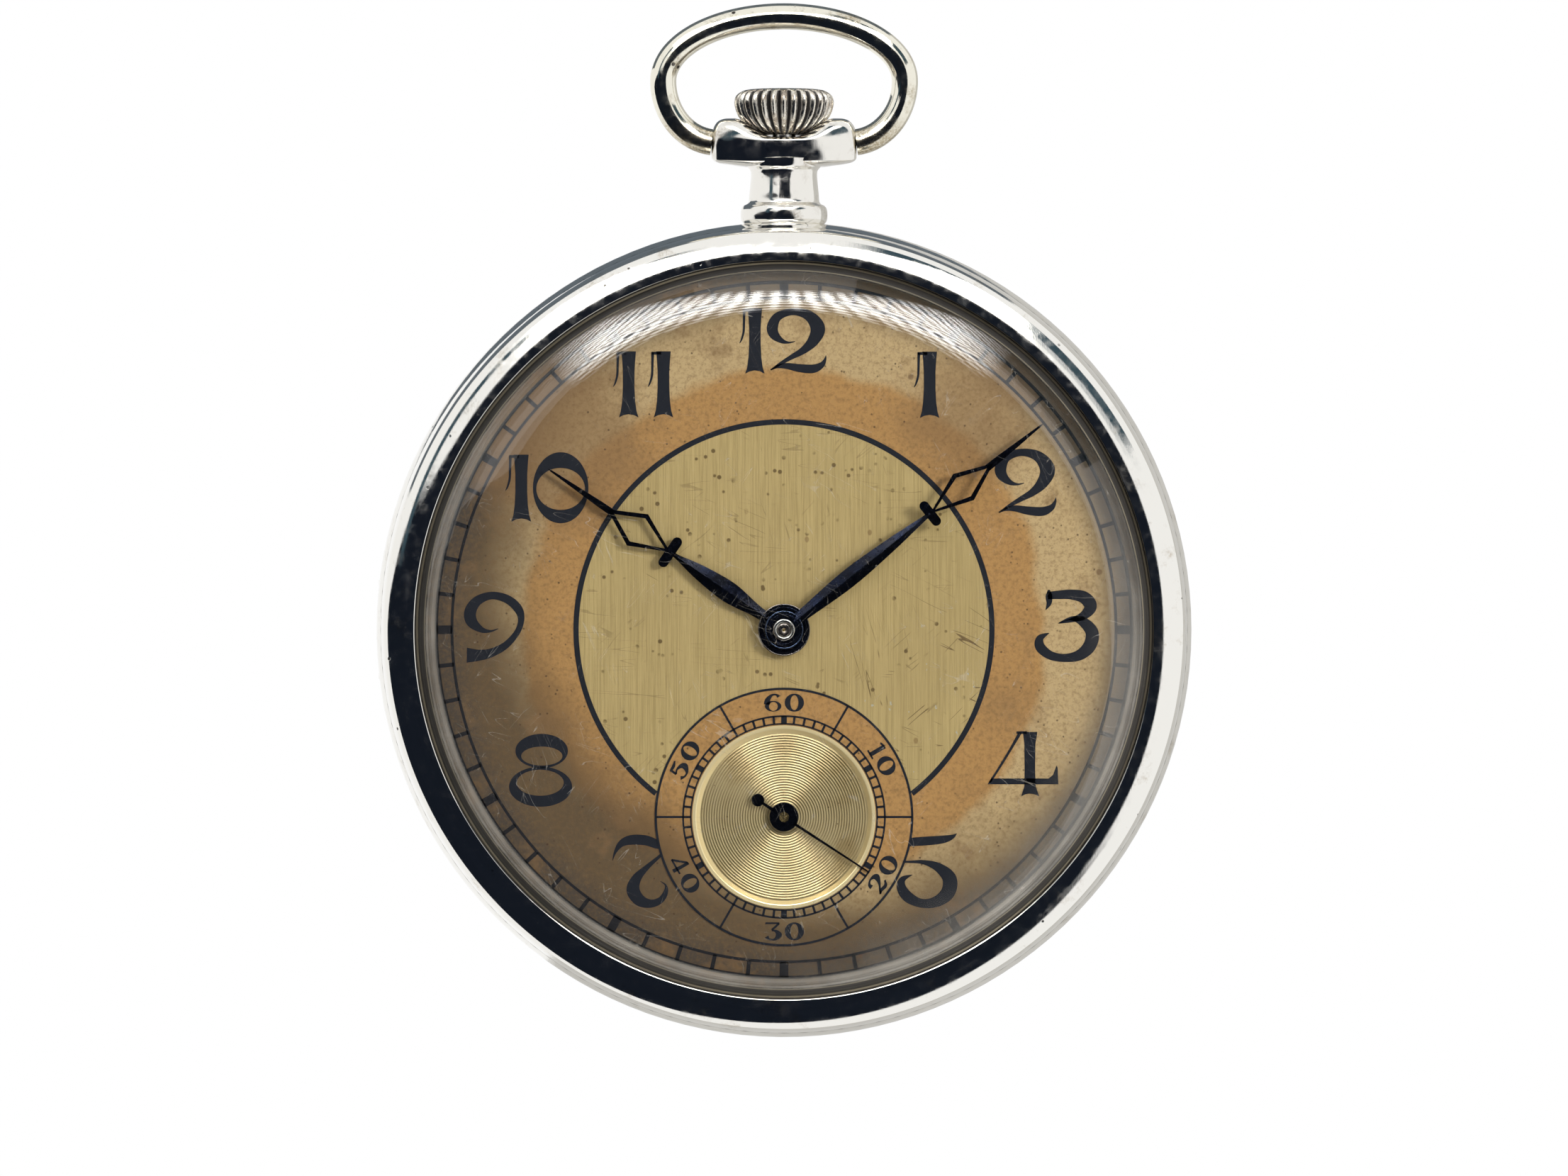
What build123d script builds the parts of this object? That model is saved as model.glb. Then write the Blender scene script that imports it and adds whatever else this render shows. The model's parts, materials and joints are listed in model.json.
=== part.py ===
from build123d import *
import os
from math import atan2, cos, degrees, hypot, radians, sin, sqrt

# An open face pocket watch, hanging upright by its bow. Millimetres.
# The origin is the top of the inside of the bow, where the watch hangs.
# +Z is up, towards 12 o'clock and the bow. The dial faces -Y and the back cover faces +Y.
# A "depth" below is a Y value: a smaller depth is nearer the wearer.
# "x" and "z" are measured from the hands' axis, unless a name says otherwise.

# ---- driving dimensions -------------------------------------------------------------------
BOW_TOP = 36.1               # from the hands' axis up to the inside of the bow
CENTRE_Z = -BOW_TOP          # height of the hands' axis in the part's frame
CASE_RADIUS = 24.5
SEAM_RADIUS = 24.05          # outside of the case band where bezel and back cover close on it
BAND_FRONT = -1.9            # depths of the two seams
BAND_BACK = 1.8
BORE_RADIUS = 21.15          # inside of the case band
OPENING_RADIUS = 22.07       # visible opening of the bezel
BEZEL_FRONT = -4.55
CRYSTAL_FRONT = -5.9
CRYSTAL_INSIDE = -5.05
BACK_FACE = 4.3
BACK_INSIDE = 3.5

HINGE_X = -24.0              # axis of the back cover's hinge, upright at 9 o'clock
HINGE_DEPTH = 1.83
KNUCKLE_RADIUS = 0.45
KNUCKLE_LENGTH = 1.2
PIN_RADIUS = 0.2
LIP_ANGLE = -12.0            # the cover's thumb lip, counterclockwise from 3 o'clock
FIT = 0.05                   # running clearance, on radius
SNUG = 0.02                  # clearance of parts that do not move, on radius

PENDANT_BASE = 24.3          # heights above the hands' axis, along the stem
PENDANT_HEAD = 27.7
PENDANT_SADDLE = 29.5
SADDLE_FLOOR = 2.2           # half-width of the flat under the crown
EAR_TOP = 30.6
EAR_REACH = 3.3              # where the slope from the saddle meets the ear, and its height
EAR_FOOT = 30.35
HEAD_LOW = 28.2              # straight part of the head's ends
HEAD_HIGH = 30.2
HEAD_HALF_WIDTH = 4.33
HEAD_HALF_DEPTH = 1.9
BOW_PIVOT = 29.3
BOW_WIRE = 1.58
BOW_HALF_WIDTH = 7.27        # to the middle of the wire
BOW_WIDEST = 33.0
BOW_FOOT = 4.0               # where the wire's middle line would end without the pendant
BOW_STUD_RADIUS = 0.5
CROWN_RADIUS = 3.0
CROWN_BASE = 29.75
CROWN_TOP = 32.5
CROWN_FLUTES = 28
STEM_RADIUS = 0.7
STEM_HOLE = 0.78

DIAL_RADIUS = 21.9
DIAL_FRONT = -3.35
DIAL_BACK = -2.9
SECONDS_Z = -11.2
SUNK_RADIUS = 5.33
SUNK_FRONT = -3.1
SUB_DIAL_RADIUS = 5.95

PLATE_RADIUS = 21.0
PLATE_FRONT = -2.0
PLATE_BACK = -0.8
BRIDGE_RADIUS = 20.3
BRIDGE_UNDER = 1.6
BRIDGE_TOP = 2.2
COCK_TOP = 2.6
WINDING_FRONT = 2.25         # the two winding wheels lie on the barrel bridge
WINDING_BACK = 2.65

# Train: teeth, leaves and modules
CENTRE_TEETH = 80
THIRD_LEAVES = 10
CENTRE_MODULE = 0.16
THIRD_TEETH = 75
FOURTH_LEAVES = 10
THIRD_MODULE = 0.15
FOURTH_TEETH = 80
ESCAPE_LEAVES = 8
FOURTH_MODULE = 0.12
BARREL_TEETH = 72
CENTRE_LEAVES = 12
BARREL_MODULE = 0.2
CANNON_LEAVES = 12
MINUTE_TEETH = 36
CANNON_MODULE = 0.2
MINUTE_LEAVES = 10
HOUR_TEETH = 40
SETTING_TEETH = 28
WINDING_LEAVES = 17
CROWN_WHEEL_TEETH = 34
RATCHET_TEETH = 50
WINDING_MODULE = 0.2
ESCAPE_TEETH = 15
ESCAPE_RADIUS = 2.6

HOUR_CLOCK_ANGLE = 304.3     # clockwise from 12, at 8.6 minutes past 10
MINUTE_CLOCK_ANGLE = 51.5
SECONDS_CLOCK_ANGLE = 123.0

# ---- worked out places --------------------------------------------------------------------
SECTION = Plane(origin=(0, 0, CENTRE_Z), x_dir=(1, 0, 0), z_dir=(0, 0, 1))
HANDS_AXIS = Axis((0, 0, CENTRE_Z), (0, 1, 0))
STEM_AXIS = Axis((0, 0, 0), (0, 0, 1))

cannon_distance = CANNON_MODULE * (CANNON_LEAVES + MINUTE_TEETH) / 2
hour_module = 2 * cannon_distance / (MINUTE_LEAVES + HOUR_TEETH)
third_reach = CENTRE_MODULE * (CENTRE_TEETH + THIRD_LEAVES) / 2
fourth_reach = THIRD_MODULE * (THIRD_TEETH + FOURTH_LEAVES) / 2
third_z = (fourth_reach ** 2 - third_reach ** 2 - SECONDS_Z ** 2) / (-2 * SECONDS_Z)
THIRD = (sqrt(third_reach ** 2 - third_z ** 2), third_z)
FOURTH = (0.0, SECONDS_Z)
escape_reach = FOURTH_MODULE * (FOURTH_TEETH + ESCAPE_LEAVES) / 2
ESCAPE_DIRECTION = 150.0
BARREL_DIRECTION = 60.0


def polar(radius, angle, about=(0.0, 0.0)):
    """A point at an angle in degrees, counterclockwise from +X as the wearer sees it."""
    return (about[0] + radius * cos(radians(angle)), about[1] + radius * sin(radians(angle)))


ESCAPE = polar(escape_reach, ESCAPE_DIRECTION, FOURTH)
BARREL = polar(BARREL_MODULE * (BARREL_TEETH + CENTRE_LEAVES) / 2, BARREL_DIRECTION)
LEVER_DIRECTION = 136.8      # escape wheel, pallet fork and balance stand in one line
PALLET_REACH = 3.0
BALANCE_REACH = 7.4
PALLET = polar(PALLET_REACH, LEVER_DIRECTION, ESCAPE)
BALANCE = polar(BALANCE_REACH, LEVER_DIRECTION, ESCAPE)
MINUTE_WHEEL = (0.0, cannon_distance)
SETTING_WHEEL = (0.0, cannon_distance + CANNON_MODULE * (MINUTE_TEETH + SETTING_TEETH) / 2)
winding_reach = WINDING_MODULE * (CROWN_WHEEL_TEETH + RATCHET_TEETH) / 2
CROWN_WHEEL = (0.0, BARREL[1] + sqrt(winding_reach ** 2 - BARREL[0] ** 2))
CROWN_WHEEL_RADIUS = WINDING_MODULE * CROWN_WHEEL_TEETH / 2


def bearing(start, end):
    """Angle in degrees of the line from one place to another."""
    return degrees(atan2(end[1] - start[1], end[0] - start[0]))


def meshed_phase(phase, teeth, other_teeth, direction):
    """Phase of a gear that meshes with a first gear, which has a tooth centred at phase."""
    along = (direction - phase) * teeth / 360
    return direction + 180 - (0.5 - along) * 360 / other_teeth


centre_phase = 0.0
third_pinion_phase = meshed_phase(centre_phase, CENTRE_TEETH, THIRD_LEAVES, bearing((0, 0), THIRD))
third_phase = third_pinion_phase
fourth_pinion_phase = meshed_phase(third_phase, THIRD_TEETH, FOURTH_LEAVES, bearing(THIRD, FOURTH))
fourth_phase = fourth_pinion_phase
escape_phase = meshed_phase(fourth_phase, FOURTH_TEETH, ESCAPE_LEAVES, bearing(FOURTH, ESCAPE))
barrel_phase = meshed_phase(centre_phase, CENTRE_LEAVES, BARREL_TEETH, bearing((0, 0), BARREL))
minute_phase = meshed_phase(centre_phase, CANNON_LEAVES, MINUTE_TEETH, 90)
hour_phase = meshed_phase(minute_phase, MINUTE_LEAVES, HOUR_TEETH, -90)
setting_phase = meshed_phase(minute_phase, MINUTE_TEETH, SETTING_TEETH, 90)
crown_wheel_phase = 90 + 180 / CROWN_WHEEL_TEETH
ratchet_phase = meshed_phase(
    crown_wheel_phase, CROWN_WHEEL_TEETH, RATCHET_TEETH, bearing(CROWN_WHEEL, BARREL)
)


# ---- helpers ------------------------------------------------------------------------------
def front_plane(depth, place=(0.0, 0.0), turn=0.0):
    """A sketch plane that faces the wearer, with its own x turned counterclockwise from +X."""
    return Plane(
        origin=(place[0], depth, CENTRE_Z + place[1]),
        x_dir=(cos(radians(turn)), 0, sin(radians(turn))),
        z_dir=(0, -1, 0),
    )


def turned(points, place=(0.0, 0.0)):
    """A piece turned on a lathe about a line along Y. Points are (radius, depth)."""
    with BuildPart() as piece:
        section = Plane(origin=(place[0], 0, CENTRE_Z + place[1]), x_dir=(1, 0, 0), z_dir=(0, 0, 1))
        with BuildSketch(section):
            with BuildLine():
                Polyline(*points, close=True)
            make_face()
        revolve(axis=Axis((place[0], 0, CENTRE_Z + place[1]), (0, 1, 0)))
    return piece.part


def stepped(steps, place=(0.0, 0.0), bore=0.0):
    """A turned arbor from its front end to its back end: (radius, front depth, back depth)."""
    outline = [(bore, steps[0][1])]
    for radius, front, back in steps:
        outline.append((radius, front))
        outline.append((radius, back))
    outline.append((bore, steps[-1][2]))
    return turned(outline, place)


def gear_points(teeth, module, phase, pinion=False):
    """Corners of a gear's outline. Teeth are narrow enough to run with backlash."""
    radius = teeth * module / 2
    tip = radius + (0.65 if pinion else 0.75) * module
    root = radius - 1.15 * module
    root_share, tip_share = (0.40, 0.16) if pinion else (0.46, 0.18)
    step = 360 / teeth
    points = []
    for count in range(teeth):
        middle = phase + count * step
        points.append(polar(root, middle - root_share * step / 2))
        points.append(polar(tip, middle - tip_share * step / 2))
        points.append(polar(tip, middle + tip_share * step / 2))
        points.append(polar(root, middle + root_share * step / 2))
    return points


def gear(teeth, module, phase, front, back, place=(0.0, 0.0), bore=0.0, pinion=False, arms=0):
    """A spur gear between two depths. A wheel with arms is crossed out between hub and rim."""
    radius = teeth * module / 2
    with BuildPart() as piece:
        with BuildSketch(front_plane(back, place)):
            with BuildLine():
                Polyline(*gear_points(teeth, module, phase, pinion), close=True)
            make_face()
            if arms:
                gaps = crossings(radius - 3.2 * module, 0.24 * radius, arms, 0.12 * radius)
                add(gaps, mode=Mode.SUBTRACT)
            if bore:
                Circle(bore, mode=Mode.SUBTRACT)
        extrude(amount=back - front)
    return piece.part


def crossings(outer, inner, arms, arm_width):
    """The gaps between the arms of a wheel."""
    with BuildSketch() as gaps:
        Circle(outer)
        Circle(inner, mode=Mode.SUBTRACT)
        with PolarLocations(0, arms, start_angle=45):
            Rectangle(outer + 1, arm_width, align=(Align.MIN, Align.CENTER), mode=Mode.SUBTRACT)
    return gaps.sketch


def screw(place, head_radius, head_front, head_back, shank_radius, shank_front):
    """A slotted cheese-head screw whose head faces the back of the watch."""
    with BuildPart() as piece:
        add(stepped([(shank_radius, shank_front, head_front), (head_radius, head_front, head_back)], place))
        with BuildSketch(front_plane(head_back, place, 30)):
            Rectangle(2.2 * head_radius, 0.24 * head_radius)
        extrude(amount=0.4 * (head_back - head_front), mode=Mode.SUBTRACT)
    return piece.part


def save(piece, name):
    piece.label = name
    export_step(piece, f"parts/{name}.step")


os.makedirs("parts", exist_ok=True)

# ---- case ---------------------------------------------------------------------------------

def knuckles(radius, indexes, play=0.0):
    """Lengths of the hinge's tube. Index 0 is the middle one of the five."""
    with BuildPart() as tubes:
        for index in indexes:
            low = CENTRE_Z + (index - 0.5) * KNUCKLE_LENGTH - play
            with BuildSketch(Plane.XY.offset(low)):
                with Locations((HINGE_X, HINGE_DEPTH)):
                    Circle(radius)
            extrude(amount=KNUCKLE_LENGTH + 2 * play)
    return tubes.part


case_knuckles = knuckles(KNUCKLE_RADIUS, (-2, 0, 2), -FIT / 2)
cover_knuckles = knuckles(KNUCKLE_RADIUS, (-1, 1), -FIT / 2)
case_knuckle_room = knuckles(KNUCKLE_RADIUS + FIT, (-2, 0, 2), FIT / 2)
cover_knuckle_room = knuckles(KNUCKLE_RADIUS + FIT, (-1, 1), FIT / 2)
hinge_bore = knuckles(PIN_RADIUS + SNUG, (-2, -1, 0, 1, 2), 0.1)

with BuildPart() as case_middle:
    with BuildSketch(SECTION):
        with BuildLine():
            Polyline(
                (SEAM_RADIUS + 0.15, BAND_FRONT),
                (23.1, BAND_FRONT),
                (23.1, -2.5),
                (BORE_RADIUS, -2.5),
                (BORE_RADIUS, BAND_BACK),
                (22.6, BAND_BACK),
                (22.6, 2.35),
                (23.2, 2.35),
                (23.2, BAND_BACK),
                (SEAM_RADIUS, BAND_BACK),
            )
            ThreePointArc((SEAM_RADIUS, BAND_BACK), (CASE_RADIUS, -0.2), (SEAM_RADIUS + 0.15, BAND_FRONT))
        make_face()
    revolve(axis=HANDS_AXIS)
    with BuildSketch(Plane.XY.offset(CENTRE_Z + 20)):
        Circle(1.35)
    extrude(amount=6, mode=Mode.SUBTRACT)
    add(cover_knuckle_room, mode=Mode.SUBTRACT)
    add(case_knuckles)
    add(hinge_bore, mode=Mode.SUBTRACT)
save(case_middle.part, "case_middle")

with BuildPart() as bezel:
    with BuildSketch(SECTION):
        with BuildLine():
            Polyline(
                (22.35, BEZEL_FRONT),
                (22.12, -4.42),
                (OPENING_RADIUS, -4.1),
                (22.38, -4.1),
                (22.38, -3.55),
                (OPENING_RADIUS, -3.55),
                (OPENING_RADIUS, -2.65),
                (23.15, -2.65),
                (23.15, BAND_FRONT),
                (SEAM_RADIUS, BAND_FRONT),
            )
            ThreePointArc((SEAM_RADIUS, BAND_FRONT), (23.6, -3.72), (22.35, BEZEL_FRONT))
        make_face()
    revolve(axis=HANDS_AXIS)
save(bezel.part, "bezel")



def dome_middle(apex, edge_radius, edge_depth):
    """Half-way point of a dome's arc, whose centre lies on the hands' axis."""
    sag = edge_depth - apex
    sphere = (edge_radius ** 2 + sag ** 2) / (2 * sag)
    return (edge_radius / 2, apex + sphere - sqrt(sphere ** 2 - edge_radius ** 2 / 4))


with BuildPart() as crystal:
    with BuildSketch(SECTION):
        with BuildLine():
            Line((0, CRYSTAL_FRONT), (0, CRYSTAL_INSIDE))
            ThreePointArc((0, CRYSTAL_INSIDE), dome_middle(CRYSTAL_INSIDE, 20.3, -4.55), (20.3, -4.55))
            Polyline((20.3, -4.55), (21.3, -3.62), (22.36, -3.58), (22.36, -4.07), (22.0, -4.09))
            ThreePointArc((22.0, -4.09), (21.75, -4.75), (20.9, -5.25))
            ThreePointArc((20.9, -5.25), dome_middle(CRYSTAL_FRONT, 20.9, -5.25), (0, CRYSTAL_FRONT))
        make_face()
    revolve(axis=HANDS_AXIS)
save(crystal.part, "crystal")

with BuildPart() as back_cover:
    with BuildSketch(SECTION):
        with BuildLine():
            Polyline((23.3, BAND_BACK + 0.04), (24.0, BAND_BACK + 0.04), (23.93, 2.3))
            ThreePointArc((23.93, 2.3), (23.0, 3.7), (21.0, BACK_FACE))
            Polyline((21.0, BACK_FACE), (0, BACK_FACE), (0, BACK_INSIDE), (21.5, BACK_INSIDE), (23.3, 2.6))
            Line((23.3, 2.6), (23.3, BAND_BACK + 0.04))
        make_face()
    revolve(axis=HANDS_AXIS)
    with BuildSketch(front_plane(2.45)):
        with Locations(polar(23.85, LIP_ANGLE)):
            Circle(0.5)
    extrude(amount=0.35)
    add(case_knuckle_room, mode=Mode.SUBTRACT)
    add(cover_knuckles)
    add(hinge_bore, mode=Mode.SUBTRACT)
save(back_cover.part, "back_cover")

with BuildPart() as hinge_pin:
    with BuildSketch(Plane.XY.offset(CENTRE_Z - 2.5 * KNUCKLE_LENGTH)):
        with Locations((HINGE_X, HINGE_DEPTH)):
            Circle(PIN_RADIUS)
    extrude(amount=5 * KNUCKLE_LENGTH)
save(hinge_pin.part, "hinge_pin")

# ---- pendant, bow and crown ---------------------------------------------------------------
stem_section = front_plane(0)

with BuildPart() as case_room:
    with BuildSketch(SECTION):
        with BuildLine():
            Polyline(
                (SEAM_RADIUS + 0.15, BAND_FRONT),
                (SEAM_RADIUS + 0.06, BAND_FRONT),
                (SEAM_RADIUS + 0.06, -4),
                (20, -4),
                (20, 4),
                (SEAM_RADIUS + 0.06, 4),
                (SEAM_RADIUS + 0.06, BAND_BACK),
                (SEAM_RADIUS, BAND_BACK),
            )
            ThreePointArc((SEAM_RADIUS, BAND_BACK), (CASE_RADIUS, -0.2), (SEAM_RADIUS + 0.15, BAND_FRONT))
        make_face()
    revolve(axis=HANDS_AXIS)

with BuildPart() as pendant:
    with BuildSketch(stem_section):
        with BuildLine():
            Polyline(
                (0, PENDANT_BASE - 1.0),
                (2.6, PENDANT_BASE - 1.0),
                (2.6, PENDANT_BASE + 0.35),
                (2.35, PENDANT_BASE + 0.9),
                (2.1, PENDANT_BASE + 1.25),
            )
            ThreePointArc((2.1, PENDANT_BASE + 1.25), (1.92, 26.7), (2.0, PENDANT_HEAD + 0.3))
            Polyline(
                (2.0, PENDANT_HEAD + 0.3),
                (2.0, PENDANT_SADDLE),
                (0, PENDANT_SADDLE),
                (0, PENDANT_BASE - 1.0),
            )
        make_face()
    revolve(axis=STEM_AXIS)
    add(case_room.part, mode=Mode.SUBTRACT)
    with BuildSketch(stem_section.offset(-HEAD_HALF_DEPTH)):
        with BuildLine():
            Line((-HEAD_HALF_WIDTH, HEAD_LOW), (-HEAD_HALF_WIDTH, HEAD_HIGH))
            ThreePointArc((-HEAD_HALF_WIDTH, HEAD_HIGH), (-3.95, EAR_TOP), (-EAR_REACH, EAR_FOOT))
            Line((-EAR_REACH, EAR_FOOT), (-SADDLE_FLOOR, PENDANT_SADDLE))
            Line((-SADDLE_FLOOR, PENDANT_SADDLE), (SADDLE_FLOOR, PENDANT_SADDLE))
            Line((SADDLE_FLOOR, PENDANT_SADDLE), (EAR_REACH, EAR_FOOT))
            ThreePointArc((EAR_REACH, EAR_FOOT), (3.95, EAR_TOP), (HEAD_HALF_WIDTH, HEAD_HIGH))
            Line((HEAD_HALF_WIDTH, HEAD_HIGH), (HEAD_HALF_WIDTH, HEAD_LOW))
            ThreePointArc((HEAD_HALF_WIDTH, HEAD_LOW), (3.1, 27.75), (1.9, PENDANT_HEAD))
            Line((1.9, PENDANT_HEAD), (-1.9, PENDANT_HEAD))
            ThreePointArc((-1.9, PENDANT_HEAD), (-3.1, 27.75), (-HEAD_HALF_WIDTH, HEAD_LOW))
        make_face()
    extrude(amount=2 * HEAD_HALF_DEPTH)
    fillet(pendant.edges().filter_by(Axis.Y).sort_by(Axis.X)[:1], 0.2)
    with BuildSketch(Plane.XY.offset(CENTRE_Z + PENDANT_BASE - 2)):
        Circle(1.1)
    extrude(amount=10, mode=Mode.SUBTRACT)
    with BuildSketch(Plane.YZ.offset(-HEAD_HALF_WIDTH)):
        with Locations((0, CENTRE_Z + BOW_PIVOT)):
            Circle(BOW_STUD_RADIUS + FIT)
    extrude(amount=2 * HEAD_HALF_WIDTH, mode=Mode.SUBTRACT)
save(pendant.part, "pendant")

with BuildPart() as pendant_sleeve:
    with BuildSketch(Plane.XY.offset(CENTRE_Z + 21.3)):
        Circle(1.08)
        Circle(STEM_HOLE, mode=Mode.SUBTRACT)
    extrude(amount=PENDANT_SADDLE - 0.3 - 21.3)
save(pendant_sleeve.part, "pendant_sleeve")

bow_end = HEAD_HALF_WIDTH + 0.08


with BuildPart() as bow:
    with BuildLine(front_plane(0)) as bow_path:
        for side, start in ((1, -90), (-1, 180)):
            EllipticalCenterArc(
                center=(side * BOW_FOOT, BOW_WIDEST),
                x_radius=BOW_HALF_WIDTH - BOW_FOOT,
                y_radius=BOW_WIDEST - BOW_PIVOT,
                start_angle=start,
                arc_size=90,
            )
        EllipticalCenterArc(
            center=(0, BOW_WIDEST),
            x_radius=BOW_HALF_WIDTH,
            y_radius=BOW_TOP + BOW_WIRE / 2 - BOW_WIDEST,
            start_angle=0,
            arc_size=180,
        )
    with BuildSketch(Plane(origin=(BOW_FOOT, 0, CENTRE_Z + BOW_PIVOT), z_dir=(1, 0, 0))):
        Circle(BOW_WIRE / 2)
    sweep(path=bow_path.wires()[0])
    with Locations((0, 0, CENTRE_Z + BOW_PIVOT)):
        Box(2 * bow_end, 6, 3.2, mode=Mode.SUBTRACT)
    for side in (-1, 1):
        with BuildSketch(Plane.YZ.offset(side * (bow_end + 0.3))):
            with Locations((0, CENTRE_Z + BOW_PIVOT)):
                Circle(BOW_STUD_RADIUS)
        extrude(amount=-side * (bow_end + 0.3 - 2.6))
save(bow.part, "bow")

crown_height = CROWN_TOP - CROWN_BASE

with BuildPart() as crown_body:
    with BuildSketch(stem_section):
        with BuildLine():
            Polyline((0, CROWN_TOP), (0, CROWN_BASE), (1.75, CROWN_BASE))
            Spline(
                (1.75, CROWN_BASE),
                (2.2, CROWN_BASE + 0.3 * crown_height),
                (CROWN_RADIUS, CROWN_TOP - 0.95),
                (2.55, CROWN_TOP - 0.2),
                (1.6, CROWN_TOP),
            )
            Line((1.6, CROWN_TOP), (0, CROWN_TOP))
        make_face()
    revolve(axis=STEM_AXIS)

with BuildPart() as crown:
    with BuildSketch(Plane.XY.offset(CENTRE_Z + CROWN_BASE)):
        Circle(CROWN_RADIUS)
        with PolarLocations(CROWN_RADIUS + 0.08, CROWN_FLUTES):
            Circle(0.24, mode=Mode.SUBTRACT)
    extrude(amount=crown_height)
    add(crown_body.part, mode=Mode.INTERSECT)
    with BuildSketch(Plane.XY.offset(CENTRE_Z + CROWN_BASE)):
        Circle(STEM_RADIUS)
    extrude(amount=1.6, mode=Mode.SUBTRACT)
save(crown.part, "crown")

CLUTCH_LOW = 14.9            # heights of the keyless works along the stem
CLUTCH_HIGH = 16.75
PINION_LOW = 17.3
PINION_HIGH = 18.45
LEVER_HEIGHT = 19.4
STEM_LOW = 13.9
SQUARE = 0.9
CLUTCH_RADIUS = 1.5
FACE_TOOTH = 0.35
FACE_TEETH = 6

with BuildPart() as stem:
    with BuildSketch(Plane.XY.offset(CENTRE_Z + STEM_LOW)):
        Circle(0.34)
    extrude(amount=0.8)
    with BuildSketch(Plane.XY.offset(CENTRE_Z + STEM_LOW + 0.7)):
        Rectangle(SQUARE, SQUARE)
    extrude(amount=PINION_LOW - STEM_LOW - 0.7)
    with BuildSketch(Plane.XY.offset(CENTRE_Z + PINION_LOW)):
        Circle(STEM_RADIUS)
    extrude(amount=CROWN_BASE + 1.5 - PINION_LOW)
    with BuildSketch(Plane.XY.offset(CENTRE_Z + LEVER_HEIGHT - 0.3)):
        Circle(STEM_RADIUS + 0.1)
        Circle(0.42, mode=Mode.SUBTRACT)
    extrude(amount=0.6, mode=Mode.SUBTRACT)
save(stem.part, "stem")


def face_teeth(low, share):
    """Ring of teeth that point along the stem, sunk or standing by half a turn of one tooth."""
    step = 360 / FACE_TEETH
    with BuildPart() as teeth:
        with BuildSketch(Plane.XY.offset(CENTRE_Z + low)):
            for count in range(FACE_TEETH):
                start = (count + share) * step
                corners = [polar(0.8, start), polar(CLUTCH_RADIUS, start)]
                corners += [polar(CLUTCH_RADIUS, start + 0.46 * step), polar(0.8, start + 0.46 * step)]
                with BuildLine():
                    Polyline(*corners, close=True)
                make_face()
        extrude(amount=FACE_TOOTH)
    return teeth.part


with BuildPart() as winding_pinion:
    with BuildSketch(Plane.XY.offset(CENTRE_Z + PINION_LOW)):
        with BuildLine():
            Polyline(*gear_points(WINDING_LEAVES, WINDING_MODULE, 90, pinion=True), close=True)
        make_face()
    extrude(amount=PINION_HIGH - PINION_LOW)
    add(face_teeth(PINION_LOW - FACE_TOOTH, 0.5))
    with BuildSketch(Plane.XY.offset(CENTRE_Z + PINION_LOW - FACE_TOOTH)):
        Circle(STEM_RADIUS + FIT)
    extrude(amount=4, mode=Mode.SUBTRACT)
save(winding_pinion.part, "winding_pinion")

with BuildPart() as sliding_pinion:
    with BuildSketch(Plane.XY.offset(CENTRE_Z + CLUTCH_LOW)):
        Circle(CLUTCH_RADIUS)
    extrude(amount=CLUTCH_HIGH - CLUTCH_LOW)
    with BuildSketch(Plane.XY.offset(CENTRE_Z + 15.75)):
        Circle(CLUTCH_RADIUS + 0.1)
        Circle(1.05, mode=Mode.SUBTRACT)
    extrude(amount=0.6, mode=Mode.SUBTRACT)
    add(face_teeth(CLUTCH_HIGH, 0.0))
    with BuildSketch(Plane.XY.offset(CENTRE_Z + CLUTCH_LOW - 0.1)):
        Rectangle(SQUARE + 2 * FIT, SQUARE + 2 * FIT)
    extrude(amount=3, mode=Mode.SUBTRACT)
    with BuildSketch(Plane.XY.offset(CENTRE_Z + CLUTCH_LOW - 0.1)):
        Circle(CLUTCH_RADIUS + 0.1)
        Circle(1.25, mode=Mode.SUBTRACT)
        with PolarLocations(0, 14):
            Rectangle(2, 0.3, align=(Align.MIN, Align.CENTER), mode=Mode.SUBTRACT)
    extrude(amount=0.45, mode=Mode.SUBTRACT)
save(sliding_pinion.part, "sliding_pinion")


def lever(pivot, reach_to, width, front, back, pin_radius, pin_back):
    """A flat lever on a pivot, with a pin at its free end that points to the back."""
    length = hypot(reach_to[0] - pivot[0], reach_to[1] - pivot[1])
    turn = bearing(pivot, reach_to)
    with BuildPart() as piece:
        with BuildSketch(front_plane(back, pivot, turn)):
            with Locations((length / 2, 0)):
                SlotOverall(length + width, width)
            Circle(0.75 * width)
            Circle(0.4, mode=Mode.SUBTRACT)
        extrude(amount=back - front)
        with BuildSketch(front_plane(pin_back, reach_to)):
            Circle(pin_radius)
        extrude(amount=pin_back - back)
    return piece.part


LEVER_PIVOT = (-3.4, LEVER_HEIGHT - 0.5)
YOKE_PIVOT = (-4.0, 16.05)
save(lever(LEVER_PIVOT, (0, LEVER_HEIGHT), 0.8, -2.45, -2.1, 0.2, -0.5), "setting_lever")
save(lever(YOKE_PIVOT, (0, 16.05), 0.8, -2.45, -2.1, 0.2, -1.15), "yoke")

# ---- dial ---------------------------------------------------------------------------------
DIAL_FEET = [polar(18.6, angle) for angle in (25, 155, 250)]

with BuildPart() as dial:
    with BuildSketch(front_plane(DIAL_BACK)):
        Circle(DIAL_RADIUS)
        Circle(1.35, mode=Mode.SUBTRACT)
        with Locations(FOURTH):
            Circle(SUNK_RADIUS, mode=Mode.SUBTRACT)
    extrude(amount=DIAL_BACK - DIAL_FRONT)
    with BuildSketch(front_plane(DIAL_BACK, FOURTH)):
        Circle(SUB_DIAL_RADIUS + SNUG)
    extrude(amount=DIAL_BACK - SUNK_FRONT, mode=Mode.SUBTRACT)
save(dial.part, "dial")

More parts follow.
